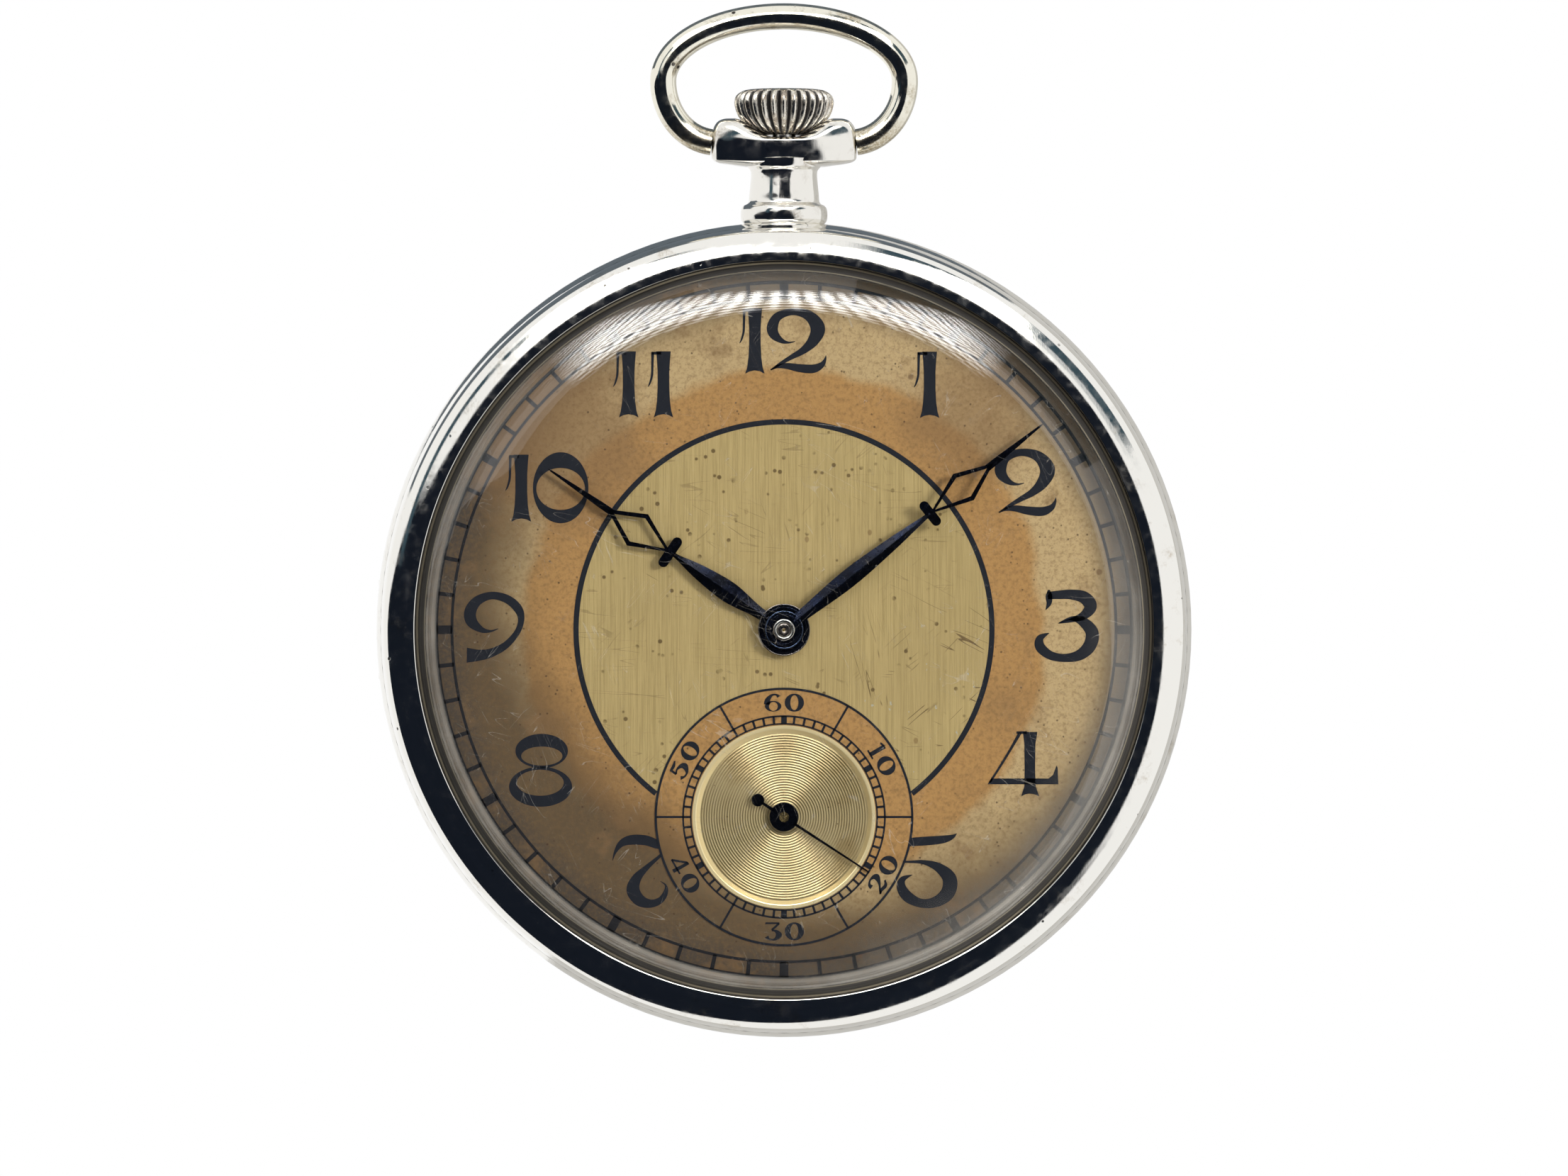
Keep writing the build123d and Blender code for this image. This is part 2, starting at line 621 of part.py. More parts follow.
with BuildPart() as sub_dial:
    with BuildSketch(front_plane(DIAL_BACK, FOURTH)):
        Circle(SUB_DIAL_RADIUS)
        Circle(0.5, mode=Mode.SUBTRACT)
    extrude(amount=DIAL_BACK - SUNK_FRONT)
save(sub_dial.part, "sub_dial")

with BuildPart() as dial_feet:
    with BuildSketch(front_plane(-1.0)):
        with Locations(*DIAL_FEET):
            Circle(0.45)
    extrude(amount=-1.0 - DIAL_BACK)
save(dial_feet.part, "dial_feet")

# ---- frame of the movement ----------------------------------------------------------------
JEWEL_RADIUS = 0.62
PIVOT_HOLE = 0.16
TRAIN_PIVOTS = [THIRD, FOURTH, ESCAPE]
CASE_SCREWS = [polar(20.0, angle) for angle in (150, 330)]
COCK_FOOT = polar(19.0, bearing((0, 0), BALANCE))

BARREL_BRIDGE_SCREWS = [polar(18.3, angle) for angle in (20, 68, 110)]
TRAIN_BRIDGE_SCREWS = [polar(18.6, angle) for angle in (350, 300, 242)]
PALLET_BRIDGE_SCREWS = [polar(2.95, LEVER_DIRECTION + side * 90, PALLET) for side in (-1, 1)]

with BuildPart() as mainplate:
    with BuildSketch(front_plane(PLATE_BACK)):
        Circle(PLATE_RADIUS)
        Circle(0.53, mode=Mode.SUBTRACT)
        with Locations(FOURTH):
            Circle(0.42, mode=Mode.SUBTRACT)
        with Locations(THIRD, ESCAPE, PALLET, BALANCE):
            Circle(JEWEL_RADIUS, mode=Mode.SUBTRACT)
        with Locations(BARREL):
            Circle(0.95, mode=Mode.SUBTRACT)
        with Locations((0, 16.3)):
            Rectangle(4.2, 4.9, mode=Mode.SUBTRACT)
        with Locations((0, 20)):
            Rectangle(1.7, 3, mode=Mode.SUBTRACT)
        with Locations(*DIAL_FEET):
            Circle(0.47, mode=Mode.SUBTRACT)
    extrude(amount=PLATE_BACK - PLATE_FRONT)
    with BuildSketch(front_plane(PLATE_FRONT)):
        Circle(PLATE_RADIUS)
        Circle(20.1, mode=Mode.SUBTRACT)
    extrude(amount=PLATE_FRONT - DIAL_BACK)
    with BuildSketch(front_plane(PLATE_FRONT)):
        with Locations((-1.0, 20)):
            Rectangle(6, 3)
    extrude(amount=1, mode=Mode.SUBTRACT)
    with BuildSketch(front_plane(-1.35, SETTING_WHEEL)):
        Circle(3.1)
    extrude(amount=1, mode=Mode.SUBTRACT)
    with BuildSketch(front_plane(BAND_BACK)):
        with Locations(*CASE_SCREWS):
            Circle(0.85)
            Circle(0.42, mode=Mode.SUBTRACT)
    extrude(amount=BAND_BACK - PLATE_BACK)
    for place, depth, length in ((SETTING_WHEEL, -1.35, 0.95), (MINUTE_WHEEL, PLATE_FRONT, 0.25)):
        with BuildSketch(front_plane(depth, place)):
            Circle(0.4)
        extrude(amount=length)
    for pivot in (LEVER_PIVOT, YOKE_PIVOT):
        with BuildSketch(front_plane(PLATE_FRONT, pivot)):
            Circle(0.35)
        extrude(amount=0.6)
save(mainplate.part, "mainplate")


def bridge_blank(keep, feet, holes, screw_places, top, foot_depth=PLATE_BACK):
    """A bridge: a sheet with feet that stand on the mainplate, and its holes."""
    with BuildPart() as piece:
        with BuildSketch(front_plane(top)):
            add(keep)
            for radius, places in holes:
                with Locations(*places):
                    Circle(radius, mode=Mode.SUBTRACT)
        extrude(amount=top - BRIDGE_UNDER)
        with BuildSketch(front_plane(BRIDGE_UNDER)):
            add(feet)
            add(keep, mode=Mode.INTERSECT)
        extrude(amount=BRIDGE_UNDER - foot_depth)
        for place in screw_places:
            with BuildSketch(front_plane(top, place)):
                Circle(0.45)
            extrude(amount=top - foot_depth - 0.6, mode=Mode.SUBTRACT)
            with BuildSketch(front_plane(top, place)):
                Circle(0.95)
            extrude(amount=0.35, mode=Mode.SUBTRACT)
    return piece.part


with BuildSketch() as barrel_keep:
    Circle(BRIDGE_RADIUS)
    with Locations((6.0, 15)):
        Rectangle(30, 27.2, mode=Mode.INTERSECT)
    with Locations(*CASE_SCREWS):
        Circle(1.8, mode=Mode.SUBTRACT)
with BuildSketch() as barrel_feet:
    Circle(BRIDGE_RADIUS)
    Circle(16.3, mode=Mode.SUBTRACT)
    with Locations((0, 18)):
        Rectangle(6.4, 9, mode=Mode.SUBTRACT)
    with Locations(BARREL):
        Circle(8.0, mode=Mode.SUBTRACT)

with BuildPart() as barrel_bridge:
    add(bridge_blank(
        barrel_keep.sketch, barrel_feet.sketch, [(1.3, [BARREL])], BARREL_BRIDGE_SCREWS, BRIDGE_TOP
    ))
    with BuildSketch(front_plane(BRIDGE_UNDER, CROWN_WHEEL)):
        Circle(4.3)
        with Locations((0, 2.3)):
            Rectangle(2.6, 6, mode=Mode.SUBTRACT)
    extrude(amount=0.3)
    with BuildSketch(front_plane(BRIDGE_TOP, CROWN_WHEEL)):
        Circle(CROWN_WHEEL_RADIUS + 0.3)
        Circle(CROWN_WHEEL_RADIUS - 0.55, mode=Mode.SUBTRACT)
    extrude(amount=BRIDGE_TOP - 1.48, mode=Mode.SUBTRACT)
    with BuildSketch(front_plane(BRIDGE_TOP)):
        with Locations((0, (PINION_LOW + PINION_HIGH) / 2)):
            Rectangle(3.0, PINION_HIGH - PINION_LOW + 0.3)
    extrude(amount=2, mode=Mode.SUBTRACT)
    with BuildSketch(front_plane(BRIDGE_TOP, CROWN_WHEEL)):
        Circle(0.4)
    extrude(amount=0.75, mode=Mode.SUBTRACT)
save(barrel_bridge.part, "barrel_bridge")

with BuildSketch() as train_keep:
    Circle(BRIDGE_RADIUS)
    with Locations((0, -10)):
        Rectangle(42, 22.6, mode=Mode.INTERSECT)
    with Locations(BALANCE):
        Circle(6.6, mode=Mode.SUBTRACT)
    with Locations(polar(14.5, 180)):
        Rectangle(15, 14, rotation=19, mode=Mode.SUBTRACT)
    with Locations(COCK_FOOT):
        Circle(4.2, mode=Mode.SUBTRACT)
    with Locations(*CASE_SCREWS):
        Circle(1.8, mode=Mode.SUBTRACT)
with BuildSketch() as train_feet:
    Circle(BRIDGE_RADIUS)
    Circle(16.9, mode=Mode.SUBTRACT)
    with Locations((-16, 0)):
        Rectangle(16, 21, mode=Mode.SUBTRACT)
save(
    bridge_blank(
        train_keep.sketch,
        train_feet.sketch,
        [(JEWEL_RADIUS, TRAIN_PIVOTS), (JEWEL_RADIUS, [(0, 0)])],
        TRAIN_BRIDGE_SCREWS,
        BRIDGE_TOP,
    ),
    "train_bridge",
)

cock_direction = bearing(COCK_FOOT, BALANCE)
cock_length = hypot(COCK_FOOT[0] - BALANCE[0], COCK_FOOT[1] - BALANCE[1])
with BuildPart() as balance_cock:
    with BuildSketch(front_plane(COCK_TOP, BALANCE, cock_direction + 180)):
        Circle(1.9)
        with BuildLine():
            Polyline((0, 1.7), (cock_length - 1.2, 2.6), (cock_length + 1.2, 2.6),
                     (cock_length + 1.2, -2.6),
                     (cock_length - 1.2, -2.6), (0, -1.7), close=True)
        make_face()
        Circle(JEWEL_RADIUS, mode=Mode.SUBTRACT)
    extrude(amount=COCK_TOP - BRIDGE_UNDER)
    with BuildSketch(front_plane(BRIDGE_UNDER, COCK_FOOT, cock_direction + 180)):
        Rectangle(2.4, 5.2)
    extrude(amount=BRIDGE_UNDER - PLATE_BACK)
    with BuildSketch(front_plane(COCK_TOP, COCK_FOOT)):
        Circle(0.45)
    extrude(amount=COCK_TOP - PLATE_BACK - 0.6, mode=Mode.SUBTRACT)
    with BuildSketch(front_plane(COCK_TOP, COCK_FOOT)):
        Circle(0.95)
    extrude(amount=0.4, mode=Mode.SUBTRACT)
save(balance_cock.part, "balance_cock")

with BuildPart() as pallet_bridge:
    with BuildSketch(front_plane(0.4, PALLET, LEVER_DIRECTION + 90)):
        SlotOverall(7.6, 1.7)
        Circle(JEWEL_RADIUS, mode=Mode.SUBTRACT)
    extrude(amount=0.4)
    for place in PALLET_BRIDGE_SCREWS:
        with BuildSketch(front_plane(0.0, place)):
            Circle(0.75)
        extrude(amount=-PLATE_BACK)
        with BuildSketch(front_plane(0.4, place)):
            Circle(0.25)
        extrude(amount=0.9, mode=Mode.SUBTRACT)
        with BuildSketch(front_plane(0.4, place)):
            Circle(0.52)
        extrude(amount=0.2, mode=Mode.SUBTRACT)
save(pallet_bridge.part, "pallet_bridge")

# ---- power: barrel, mainspring and winding wheels -----------------------------------------
barrel_radius = BARREL_TEETH * BARREL_MODULE / 2 - 0.55
BARREL_FRONT = -0.65
BARREL_BACK = 1.0

with BuildPart() as barrel:
    add(gear(BARREL_TEETH, BARREL_MODULE, barrel_phase, BARREL_FRONT, -0.25, BARREL, 0.85))
    with BuildSketch(front_plane(0.8, BARREL)):
        Circle(barrel_radius)
        Circle(barrel_radius - 0.35, mode=Mode.SUBTRACT)
    extrude(amount=0.8 + 0.3)
    with BuildSketch(front_plane(-0.25, BARREL)):
        Circle(barrel_radius - 0.35)
    extrude(amount=0.15, mode=Mode.SUBTRACT)
save(barrel.part, "barrel")

with BuildPart() as barrel_cover:
    with BuildSketch(front_plane(BARREL_BACK, BARREL)):
        Circle(barrel_radius)
        Circle(0.85, mode=Mode.SUBTRACT)
    extrude(amount=BARREL_BACK - 0.8)
save(barrel_cover.part, "barrel_cover")

with BuildPart() as barrel_arbor:
    steps = [(0.8, -1.2, -0.35), (1.5, -0.35, 0.75), (0.8, 0.75, 1.1), (1.2, 1.1, WINDING_FRONT)]
    add(stepped(steps, BARREL))
    with BuildSketch(front_plane(WINDING_BACK, BARREL)):
        Rectangle(1.3, 1.3)
    extrude(amount=WINDING_BACK - WINDING_FRONT)
    with BuildSketch(front_plane(WINDING_BACK, BARREL)):
        Circle(0.3)
    extrude(amount=1.4, mode=Mode.SUBTRACT)
save(barrel_arbor.part, "barrel_arbor")


def spiral_strip(inner, outer, turns, strip, front, back, place, start=0.0):
    """A coiled strip of even pitch between two radii."""
    steps = int(turns * 24)
    middle = []
    for count in range(steps + 1):
        share = count / steps
        middle.append((inner + (outer - inner) * share, start + 360 * turns * share))
    outside = [polar(radius + strip / 2, angle) for radius, angle in middle]
    inside = [polar(radius - strip / 2, angle) for radius, angle in reversed(middle)]
    with BuildPart() as piece:
        with BuildSketch(front_plane(back, place)):
            with BuildLine():
                Polyline(*outside, *inside, close=True)
            make_face()
        extrude(amount=back - front)
    return piece.part


save(spiral_strip(1.62, barrel_radius - 0.45, 9.5, 0.18, -0.3, 0.7, BARREL), "mainspring")

with BuildPart() as ratchet_wheel:
    add(gear(RATCHET_TEETH, WINDING_MODULE, ratchet_phase, WINDING_FRONT, WINDING_BACK, BARREL))
    with BuildSketch(front_plane(WINDING_BACK, BARREL)):
        Rectangle(1.34, 1.34)
    extrude(amount=1, mode=Mode.SUBTRACT)
    with BuildSketch(front_plane(WINDING_BACK, BARREL)):
        Circle(1.5)
    extrude(amount=0.12, mode=Mode.SUBTRACT)
save(ratchet_wheel.part, "ratchet_wheel")
save(screw(BARREL, 1.45, WINDING_BACK, WINDING_BACK + 0.35, 0.28, 1.5), "ratchet_screw")

with BuildPart() as crown_wheel:
    add(gear(CROWN_WHEEL_TEETH, WINDING_MODULE, crown_wheel_phase, 1.55, WINDING_BACK, CROWN_WHEEL))
    with BuildSketch(front_plane(1.97, CROWN_WHEEL)):
        Circle(CROWN_WHEEL_RADIUS - 1.15 * WINDING_MODULE)
    extrude(amount=1, mode=Mode.SUBTRACT)
    with BuildSketch(front_plane(WINDING_FRONT, CROWN_WHEEL)):
        Circle(CROWN_WHEEL_RADIUS - 0.45)
    extrude(amount=1, mode=Mode.SUBTRACT)
    with BuildSketch(front_plane(WINDING_BACK, CROWN_WHEEL)):
        Circle(1.3)
    extrude(amount=1, mode=Mode.SUBTRACT)
save(crown_wheel.part, "crown_wheel")

core_steps = [
    (1.25, BRIDGE_TOP, WINDING_BACK + FIT),
    (1.6, WINDING_BACK + FIT, WINDING_BACK + 0.2),
]
save(stepped(core_steps, CROWN_WHEEL, 0.4), "crown_wheel_core")
save(screw(CROWN_WHEEL, 1.0, WINDING_BACK + 0.2, WINDING_BACK + 0.5, 0.38, 1.5), "crown_wheel_screw")

click_mesh = 350.0
CLICK_PIVOT = polar(7.1, click_mesh - 8, BARREL)
CLICK_TIP = polar(RATCHET_TEETH * WINDING_MODULE / 2 + 0.07, click_mesh + 16, BARREL)
click_turn = bearing(CLICK_PIVOT, CLICK_TIP)
click_length = hypot(CLICK_TIP[0] - CLICK_PIVOT[0], CLICK_TIP[1] - CLICK_PIVOT[1])
with BuildPart() as click:
    with BuildSketch(front_plane(WINDING_BACK, CLICK_PIVOT, click_turn)):
        Circle(0.85)
        with BuildLine():
            Polyline((0, -0.85), (click_length, -0.06), (click_length, 0.06), (0.3, 0.8), close=True)
        make_face()
        Circle(0.4, mode=Mode.SUBTRACT)
    extrude(amount=WINDING_BACK - WINDING_FRONT)
save(click.part, "click")
save(screw(CLICK_PIVOT, 0.75, WINDING_BACK + 0.05, WINDING_BACK + 0.3, 0.35, BRIDGE_TOP), "click_screw")

with BuildPart() as click_spring:
    with BuildSketch(front_plane(WINDING_BACK - 0.1)):
        with BuildLine():
            far = polar(3.3, 285, CLICK_PIVOT)
            near = polar(1.0, 330, CLICK_PIVOT)
            bend = polar(2.9, 318, CLICK_PIVOT)
            spring_line = ThreePointArc(far, bend, near)
            offset(spring_line, amount=0.09)
        make_face()
        with Locations(far):
            Circle(0.55)
    extrude(amount=0.3)
save(click_spring.part, "click_spring")

# ---- going train --------------------------------------------------------------------------
with BuildPart() as centre_wheel:
    add(gear(CENTRE_TEETH, CENTRE_MODULE, centre_phase, 1.15, 1.4, arms=5))
    add(gear(CENTRE_LEAVES, BARREL_MODULE, centre_phase, -0.7, 0.0, pinion=True))
    add(stepped([(0.4, -4.3, -0.75), (0.6, -0.75, 1.45), (0.3, 1.45, 2.1)]))
save(centre_wheel.part, "centre_wheel")

with BuildPart() as third_wheel:
    add(gear(THIRD_TEETH, THIRD_MODULE, third_phase, -0.45, -0.2, THIRD, arms=5))
    add(gear(THIRD_LEAVES, CENTRE_MODULE, third_pinion_phase, 0.95, 1.5, THIRD, pinion=True))
    add(stepped([(0.12, -1.2, -0.7), (0.4, -0.7, 1.52), (0.12, 1.52, 2.0)], THIRD))
save(third_wheel.part, "third_wheel")

with BuildPart() as fourth_wheel:
    add(gear(FOURTH_TEETH, FOURTH_MODULE, fourth_phase, 0.5, 0.75, FOURTH, arms=5))
    add(gear(FOURTH_LEAVES, THIRD_MODULE, fourth_pinion_phase, -0.6, 0.0, FOURTH, pinion=True))
    add(stepped([(0.3, -3.55, -0.7), (0.36, -0.7, 1.52), (0.12, 1.52, 2.0)], FOURTH))
save(fourth_wheel.part, "fourth_wheel")


def escape_points():
    """Club-tooth outline of the escape wheel."""
    step = 360 / ESCAPE_TEETH
    points = []
    for count in range(ESCAPE_TEETH):
        start = escape_phase + 11 + count * step
        points.append(polar(ESCAPE_RADIUS - 0.72, start))
        points.append(polar(ESCAPE_RADIUS - 0.72, start + 0.52 * step))
        points.append(polar(ESCAPE_RADIUS - 0.05, start + 0.80 * step))
        points.append(polar(ESCAPE_RADIUS, start + 0.97 * step))
        points.append(polar(ESCAPE_RADIUS - 0.18, start + 0.99 * step))
    return points


with BuildPart() as escape_wheel:
    with BuildSketch(front_plane(-0.3, ESCAPE)):
        with BuildLine():
            Polyline(*escape_points(), close=True)
        make_face()
        add(crossings(ESCAPE_RADIUS - 0.95, 0.55, 4, 0.24), mode=Mode.SUBTRACT)
    extrude(amount=0.2)
    add(gear(ESCAPE_LEAVES, FOURTH_MODULE, escape_phase, 0.35, 0.95, ESCAPE, pinion=True))
    add(stepped([(0.12, -1.2, -0.7), (0.25, -0.7, 1.52), (0.12, 1.52, 2.0)], ESCAPE))
save(escape_wheel.part, "escape_wheel")

# ---- lever escapement and balance ---------------------------------------------------------
fork_length = BALANCE_REACH - PALLET_REACH - 0.95
ROLLER_PIN_REACH = 0.95
with BuildPart() as pallet_fork:
    with BuildSketch(front_plane(-0.25, PALLET, LEVER_DIRECTION)):
        Circle(0.45)
        Rectangle(fork_length, 0.34, align=(Align.MIN, Align.CENTER))
        with Locations((fork_length - 0.1, 0)):
            Rectangle(0.7, 0.8)
        with Locations((fork_length + 0.1, 0)):
            Rectangle(0.5, 0.3, mode=Mode.SUBTRACT)
        with BuildLine():
            Polyline((0.3, 0.35), (-0.35, 2.1), (-0.85, 2.1), (-0.4, 0), (-0.85, -2.1), (-0.35, -2.1),
                     (0.3, -0.35),
                     close=True)
        make_face()
    extrude(amount=0.25)
    add(stepped([(0.1, -1.2, -0.7), (0.22, -0.7, -0.05), (0.1, -0.05, 0.3)], PALLET))
save(pallet_fork.part, "pallet_fork")

with BuildPart() as pallet_stones:
    with BuildSketch(front_plane(-0.28, PALLET, LEVER_DIRECTION)):
        with Locations((-1.0, 1.95), (-1.0, -1.95)):
            Rectangle(0.3, 0.28)
    extrude(amount=0.2)
save(pallet_stones.part, "pallet_stones")

BALANCE_RIM = 6.35
with BuildPart() as balance_wheel:
    with BuildSketch(front_plane(1.0, BALANCE, LEVER_DIRECTION + 40)):
        Circle(BALANCE_RIM)
        Circle(BALANCE_RIM - 0.65, mode=Mode.SUBTRACT)
        Rectangle(2 * BALANCE_RIM - 0.5, 0.7)
        Circle(1.1)
        Circle(0.45, mode=Mode.SUBTRACT)
    extrude(amount=0.5)
save(balance_wheel.part, "balance_wheel")

with BuildPart() as balance_screws:
    for angle in (20, 45, 70, 110, 135, 160, 200, 225, 250, 290, 315, 340):
        turn = angle + LEVER_DIRECTION + 40
        place = polar(BALANCE_RIM, turn, BALANCE)
        direction = (cos(radians(turn)), 0, sin(radians(turn)))
        with BuildSketch(Plane(origin=(place[0], 0.75, CENTRE_Z + place[1]), z_dir=direction)):
            Circle(0.24)
        extrude(amount=0.33)
save(balance_screws.part, "balance_screws")

with BuildPart() as balance_staff:
    add(stepped([(0.09, -1.2, -0.75), (0.3, -0.75, -0.7), (1.25, -0.7, -0.58), (0.3, -0.58, -0.2),
                 (0.45, -0.2, 1.05), (0.6, 1.05, 1.1), (0.3, 1.1, 1.5), (0.09, 1.5, 2.0)], BALANCE))
    with BuildSketch(front_plane(-0.26, polar(ROLLER_PIN_REACH, LEVER_DIRECTION + 180, BALANCE))):
        Circle(0.1)
    extrude(amount=0.35)
save(balance_staff.part, "balance_staff")
save(spiral_strip(0.75, 3.1, 9, 0.07, 1.2, 1.4, BALANCE, 20), "hairspring")

with BuildPart() as hairspring_collet:
    with BuildSketch(front_plane(1.42, BALANCE)):
        Circle(0.7)
        Circle(0.3, mode=Mode.SUBTRACT)
    extrude(amount=0.25)
save(hairspring_collet.part, "hairspring_collet")

with BuildPart() as regulator:
    with BuildSketch(front_plane(COCK_TOP + 0.25, BALANCE, cock_direction + 180)):
        Circle(1.5)
        with BuildLine():
            Polyline((0, 0.35), (5.6, 0.16), (5.9, 0), (5.6, -0.16), (0, -0.35), close=True)
        make_face()
        Circle(0.9, mode=Mode.SUBTRACT)
    extrude(amount=0.2)
save(regulator.part, "regulator")
save(stepped([(0.88, COCK_TOP, COCK_TOP + 0.35)], BALANCE), "balance_end_cap")

# ---- jewels and screws --------------------------------------------------------------------
with BuildPart() as jewels:
    for place in (THIRD, ESCAPE):
        add(stepped([(JEWEL_RADIUS, -1.25, PLATE_BACK)], place, PIVOT_HOLE))
        add(stepped([(JEWEL_RADIUS, BRIDGE_UNDER, 2.1)], place, PIVOT_HOLE))
    add(stepped([(JEWEL_RADIUS, -1.25, PLATE_BACK)], PALLET, 0.13))
    add(stepped([(JEWEL_RADIUS, 0.0, 0.32)], PALLET, 0.13))
    add(stepped([(JEWEL_RADIUS, -1.25, PLATE_BACK)], BALANCE, 0.12))
    add(stepped([(JEWEL_RADIUS, BRIDGE_UNDER, 2.4)], BALANCE, 0.12))
    add(stepped([(JEWEL_RADIUS, BRIDGE_UNDER, 2.1)], FOURTH, PIVOT_HOLE))
    add(stepped([(JEWEL_RADIUS, BRIDGE_UNDER, 2.1)], (0, 0), 0.33))
save(jewels.part, "jewels")

with BuildPart() as bridge_screws:
    for place in BARREL_BRIDGE_SCREWS + TRAIN_BRIDGE_SCREWS:
        add(screw(place, 0.9, BRIDGE_TOP - 0.35, BRIDGE_TOP + 0.1, 0.4, -0.15))
    add(screw(COCK_FOOT, 0.9, COCK_TOP - 0.4, COCK_TOP + 0.05, 0.4, -0.15))
    for place in PALLET_BRIDGE_SCREWS:
        add(screw(place, 0.5, 0.2, 0.42, 0.22, -0.45))
save(bridge_screws.part, "bridge_screws")

with BuildPart() as case_screws:
    for place in CASE_SCREWS:
        add(screw(place, 1.5, BAND_BACK, BAND_BACK + 0.4, 0.4, BAND_BACK - 1.2))
save(case_screws.part, "case_screws")

# ---- motion work --------------------------------------------------------------------------
CANNON_RADIUS = 0.63
with BuildPart() as cannon_pinion:
    add(gear(CANNON_LEAVES, CANNON_MODULE, centre_phase, -2.38, -2.06, pinion=True))
    add(stepped([(CANNON_RADIUS, -4.4, -2.06)]))
    with BuildSketch(front_plane(-2.0)):
        Circle(0.42)
    extrude(amount=3, mode=Mode.SUBTRACT)
save(cannon_pinion.part, "cannon_pinion")

with BuildPart() as minute_wheel:
    add(gear(MINUTE_TEETH, CANNON_MODULE, minute_phase, -2.32, -2.12, MINUTE_WHEEL))
    add(gear(MINUTE_LEAVES, hour_module, minute_phase, -2.8, -2.3, MINUTE_WHEEL, pinion=True))
    with BuildSketch(front_plane(-2.0, MINUTE_WHEEL)):
        Circle(0.45)
    extrude(amount=0.4, mode=Mode.SUBTRACT)
save(minute_wheel.part, "minute_wheel")

with BuildPart() as hour_wheel:
    add(gear(HOUR_TEETH, hour_module, hour_phase, -2.78, -2.52))
    add(stepped([(1.05, -3.95, -2.52)]))
    with BuildSketch(front_plane(-2.0)):
        Circle(CANNON_RADIUS + FIT)
    extrude(amount=3, mode=Mode.SUBTRACT)
save(hour_wheel.part, "hour_wheel")
save(gear(SETTING_TEETH, CANNON_MODULE, setting_phase, -2.36, -1.42, SETTING_WHEEL, 0.45), "setting_wheel")

# ---- hands --------------------------------------------------------------------------------
KITE_LINE = 0.22


def kite(start, widest, half_width, end, inset=0.0):
    """Four corners of the open kite near the end of a hand."""
    return [(start + 1.7 * inset, 0), (widest, half_width - 1.15 * inset), (end - 2.2 * inset, 0),
            (widest, -half_width + 1.15 * inset)]


def hand(length, hub, bore, leaf, bar, kite_widest, kite_half, kite_end, front, back, clock_angle):
    """An openwork hand: hub, leaf, cross bar, open kite and needle.

    leaf is (distance, half width), bar is (distance, half length, thickness)."""
    with BuildPart() as piece:
        with BuildSketch(front_plane(back, (0, 0), 90 - clock_angle)):
            Circle(hub)
            with BuildLine():
                Spline((hub - 0.25, 0.33), (leaf[0], leaf[1]), (bar[0] - 0.6, 0.15))
                Polyline((bar[0] - 0.6, 0.15), (bar[0], 0.2), (bar[0], -0.2), (bar[0] - 0.6, -0.15))
                Spline((bar[0] - 0.6, -0.15), (leaf[0], -leaf[1]), (hub - 0.25, -0.33))
                Line((hub - 0.25, -0.33), (hub - 0.25, 0.33))
            make_face()
            with BuildLine():
                Polyline(*kite(bar[0], kite_widest, kite_half, kite_end), close=True)
            make_face()
            with BuildLine():
                Polyline(*kite(bar[0], kite_widest, kite_half, kite_end, KITE_LINE), close=True)
            make_face(mode=Mode.SUBTRACT)
            with BuildLine():
                Polyline((kite_end - 0.35, 0.24), (length - 0.2, 0.09), (length, 0), (length - 0.2, -0.09),
                         (kite_end - 0.35, -0.24), close=True)
            make_face()
            with Locations((bar[0], 0)):
                SlotOverall(2 * bar[1], bar[2], rotation=90)
            Circle(bore, mode=Mode.SUBTRACT)
        extrude(amount=back - front)
    return piece.part


save(
    hand(17.1, 1.53, 1.05, (4.1, 0.58), (8.2, 1.0, 0.6), 10.46, 1.2, 12.7, -3.9, -3.72, HOUR_CLOCK_ANGLE),
    "hour_hand",
)
save(
    hand(19.8, 1.14, CANNON_RADIUS, (5.2, 0.5), (11.16, 0.84, 0.56), 13.7, 1.08, 15.97, -4.3, -4.12,
         MINUTE_CLOCK_ANGLE),
    "minute_hand",
)

with BuildPart() as seconds_hand:
    with BuildSketch(front_plane(-3.38, FOURTH, 90 - SECONDS_CLOCK_ANGLE)):
        Circle(0.855)
        with BuildLine():
            Polyline((0, 0.2), (6.0, 0.05), (6.12, 0), (6.0, -0.05), (0, -0.2), close=True)
        make_face()
        with BuildLine():
            Polyline((0, 0.13), (-1.9, 0.09), (-1.9, -0.09), (0, -0.13), close=True)
        make_face()
        with Locations((-1.85, 0)):
            Circle(0.38)
        Circle(0.3, mode=Mode.SUBTRACT)
    extrude(amount=0.12)
save(seconds_hand.part, "seconds_hand")
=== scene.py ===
"""Looks of the open face pocket watch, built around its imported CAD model.

Shapes are given in millimetres from the hands' axis: x to the right, y to the back, z up.
"""
import json
from math import atan2, cos, degrees, hypot, pi, radians, sin

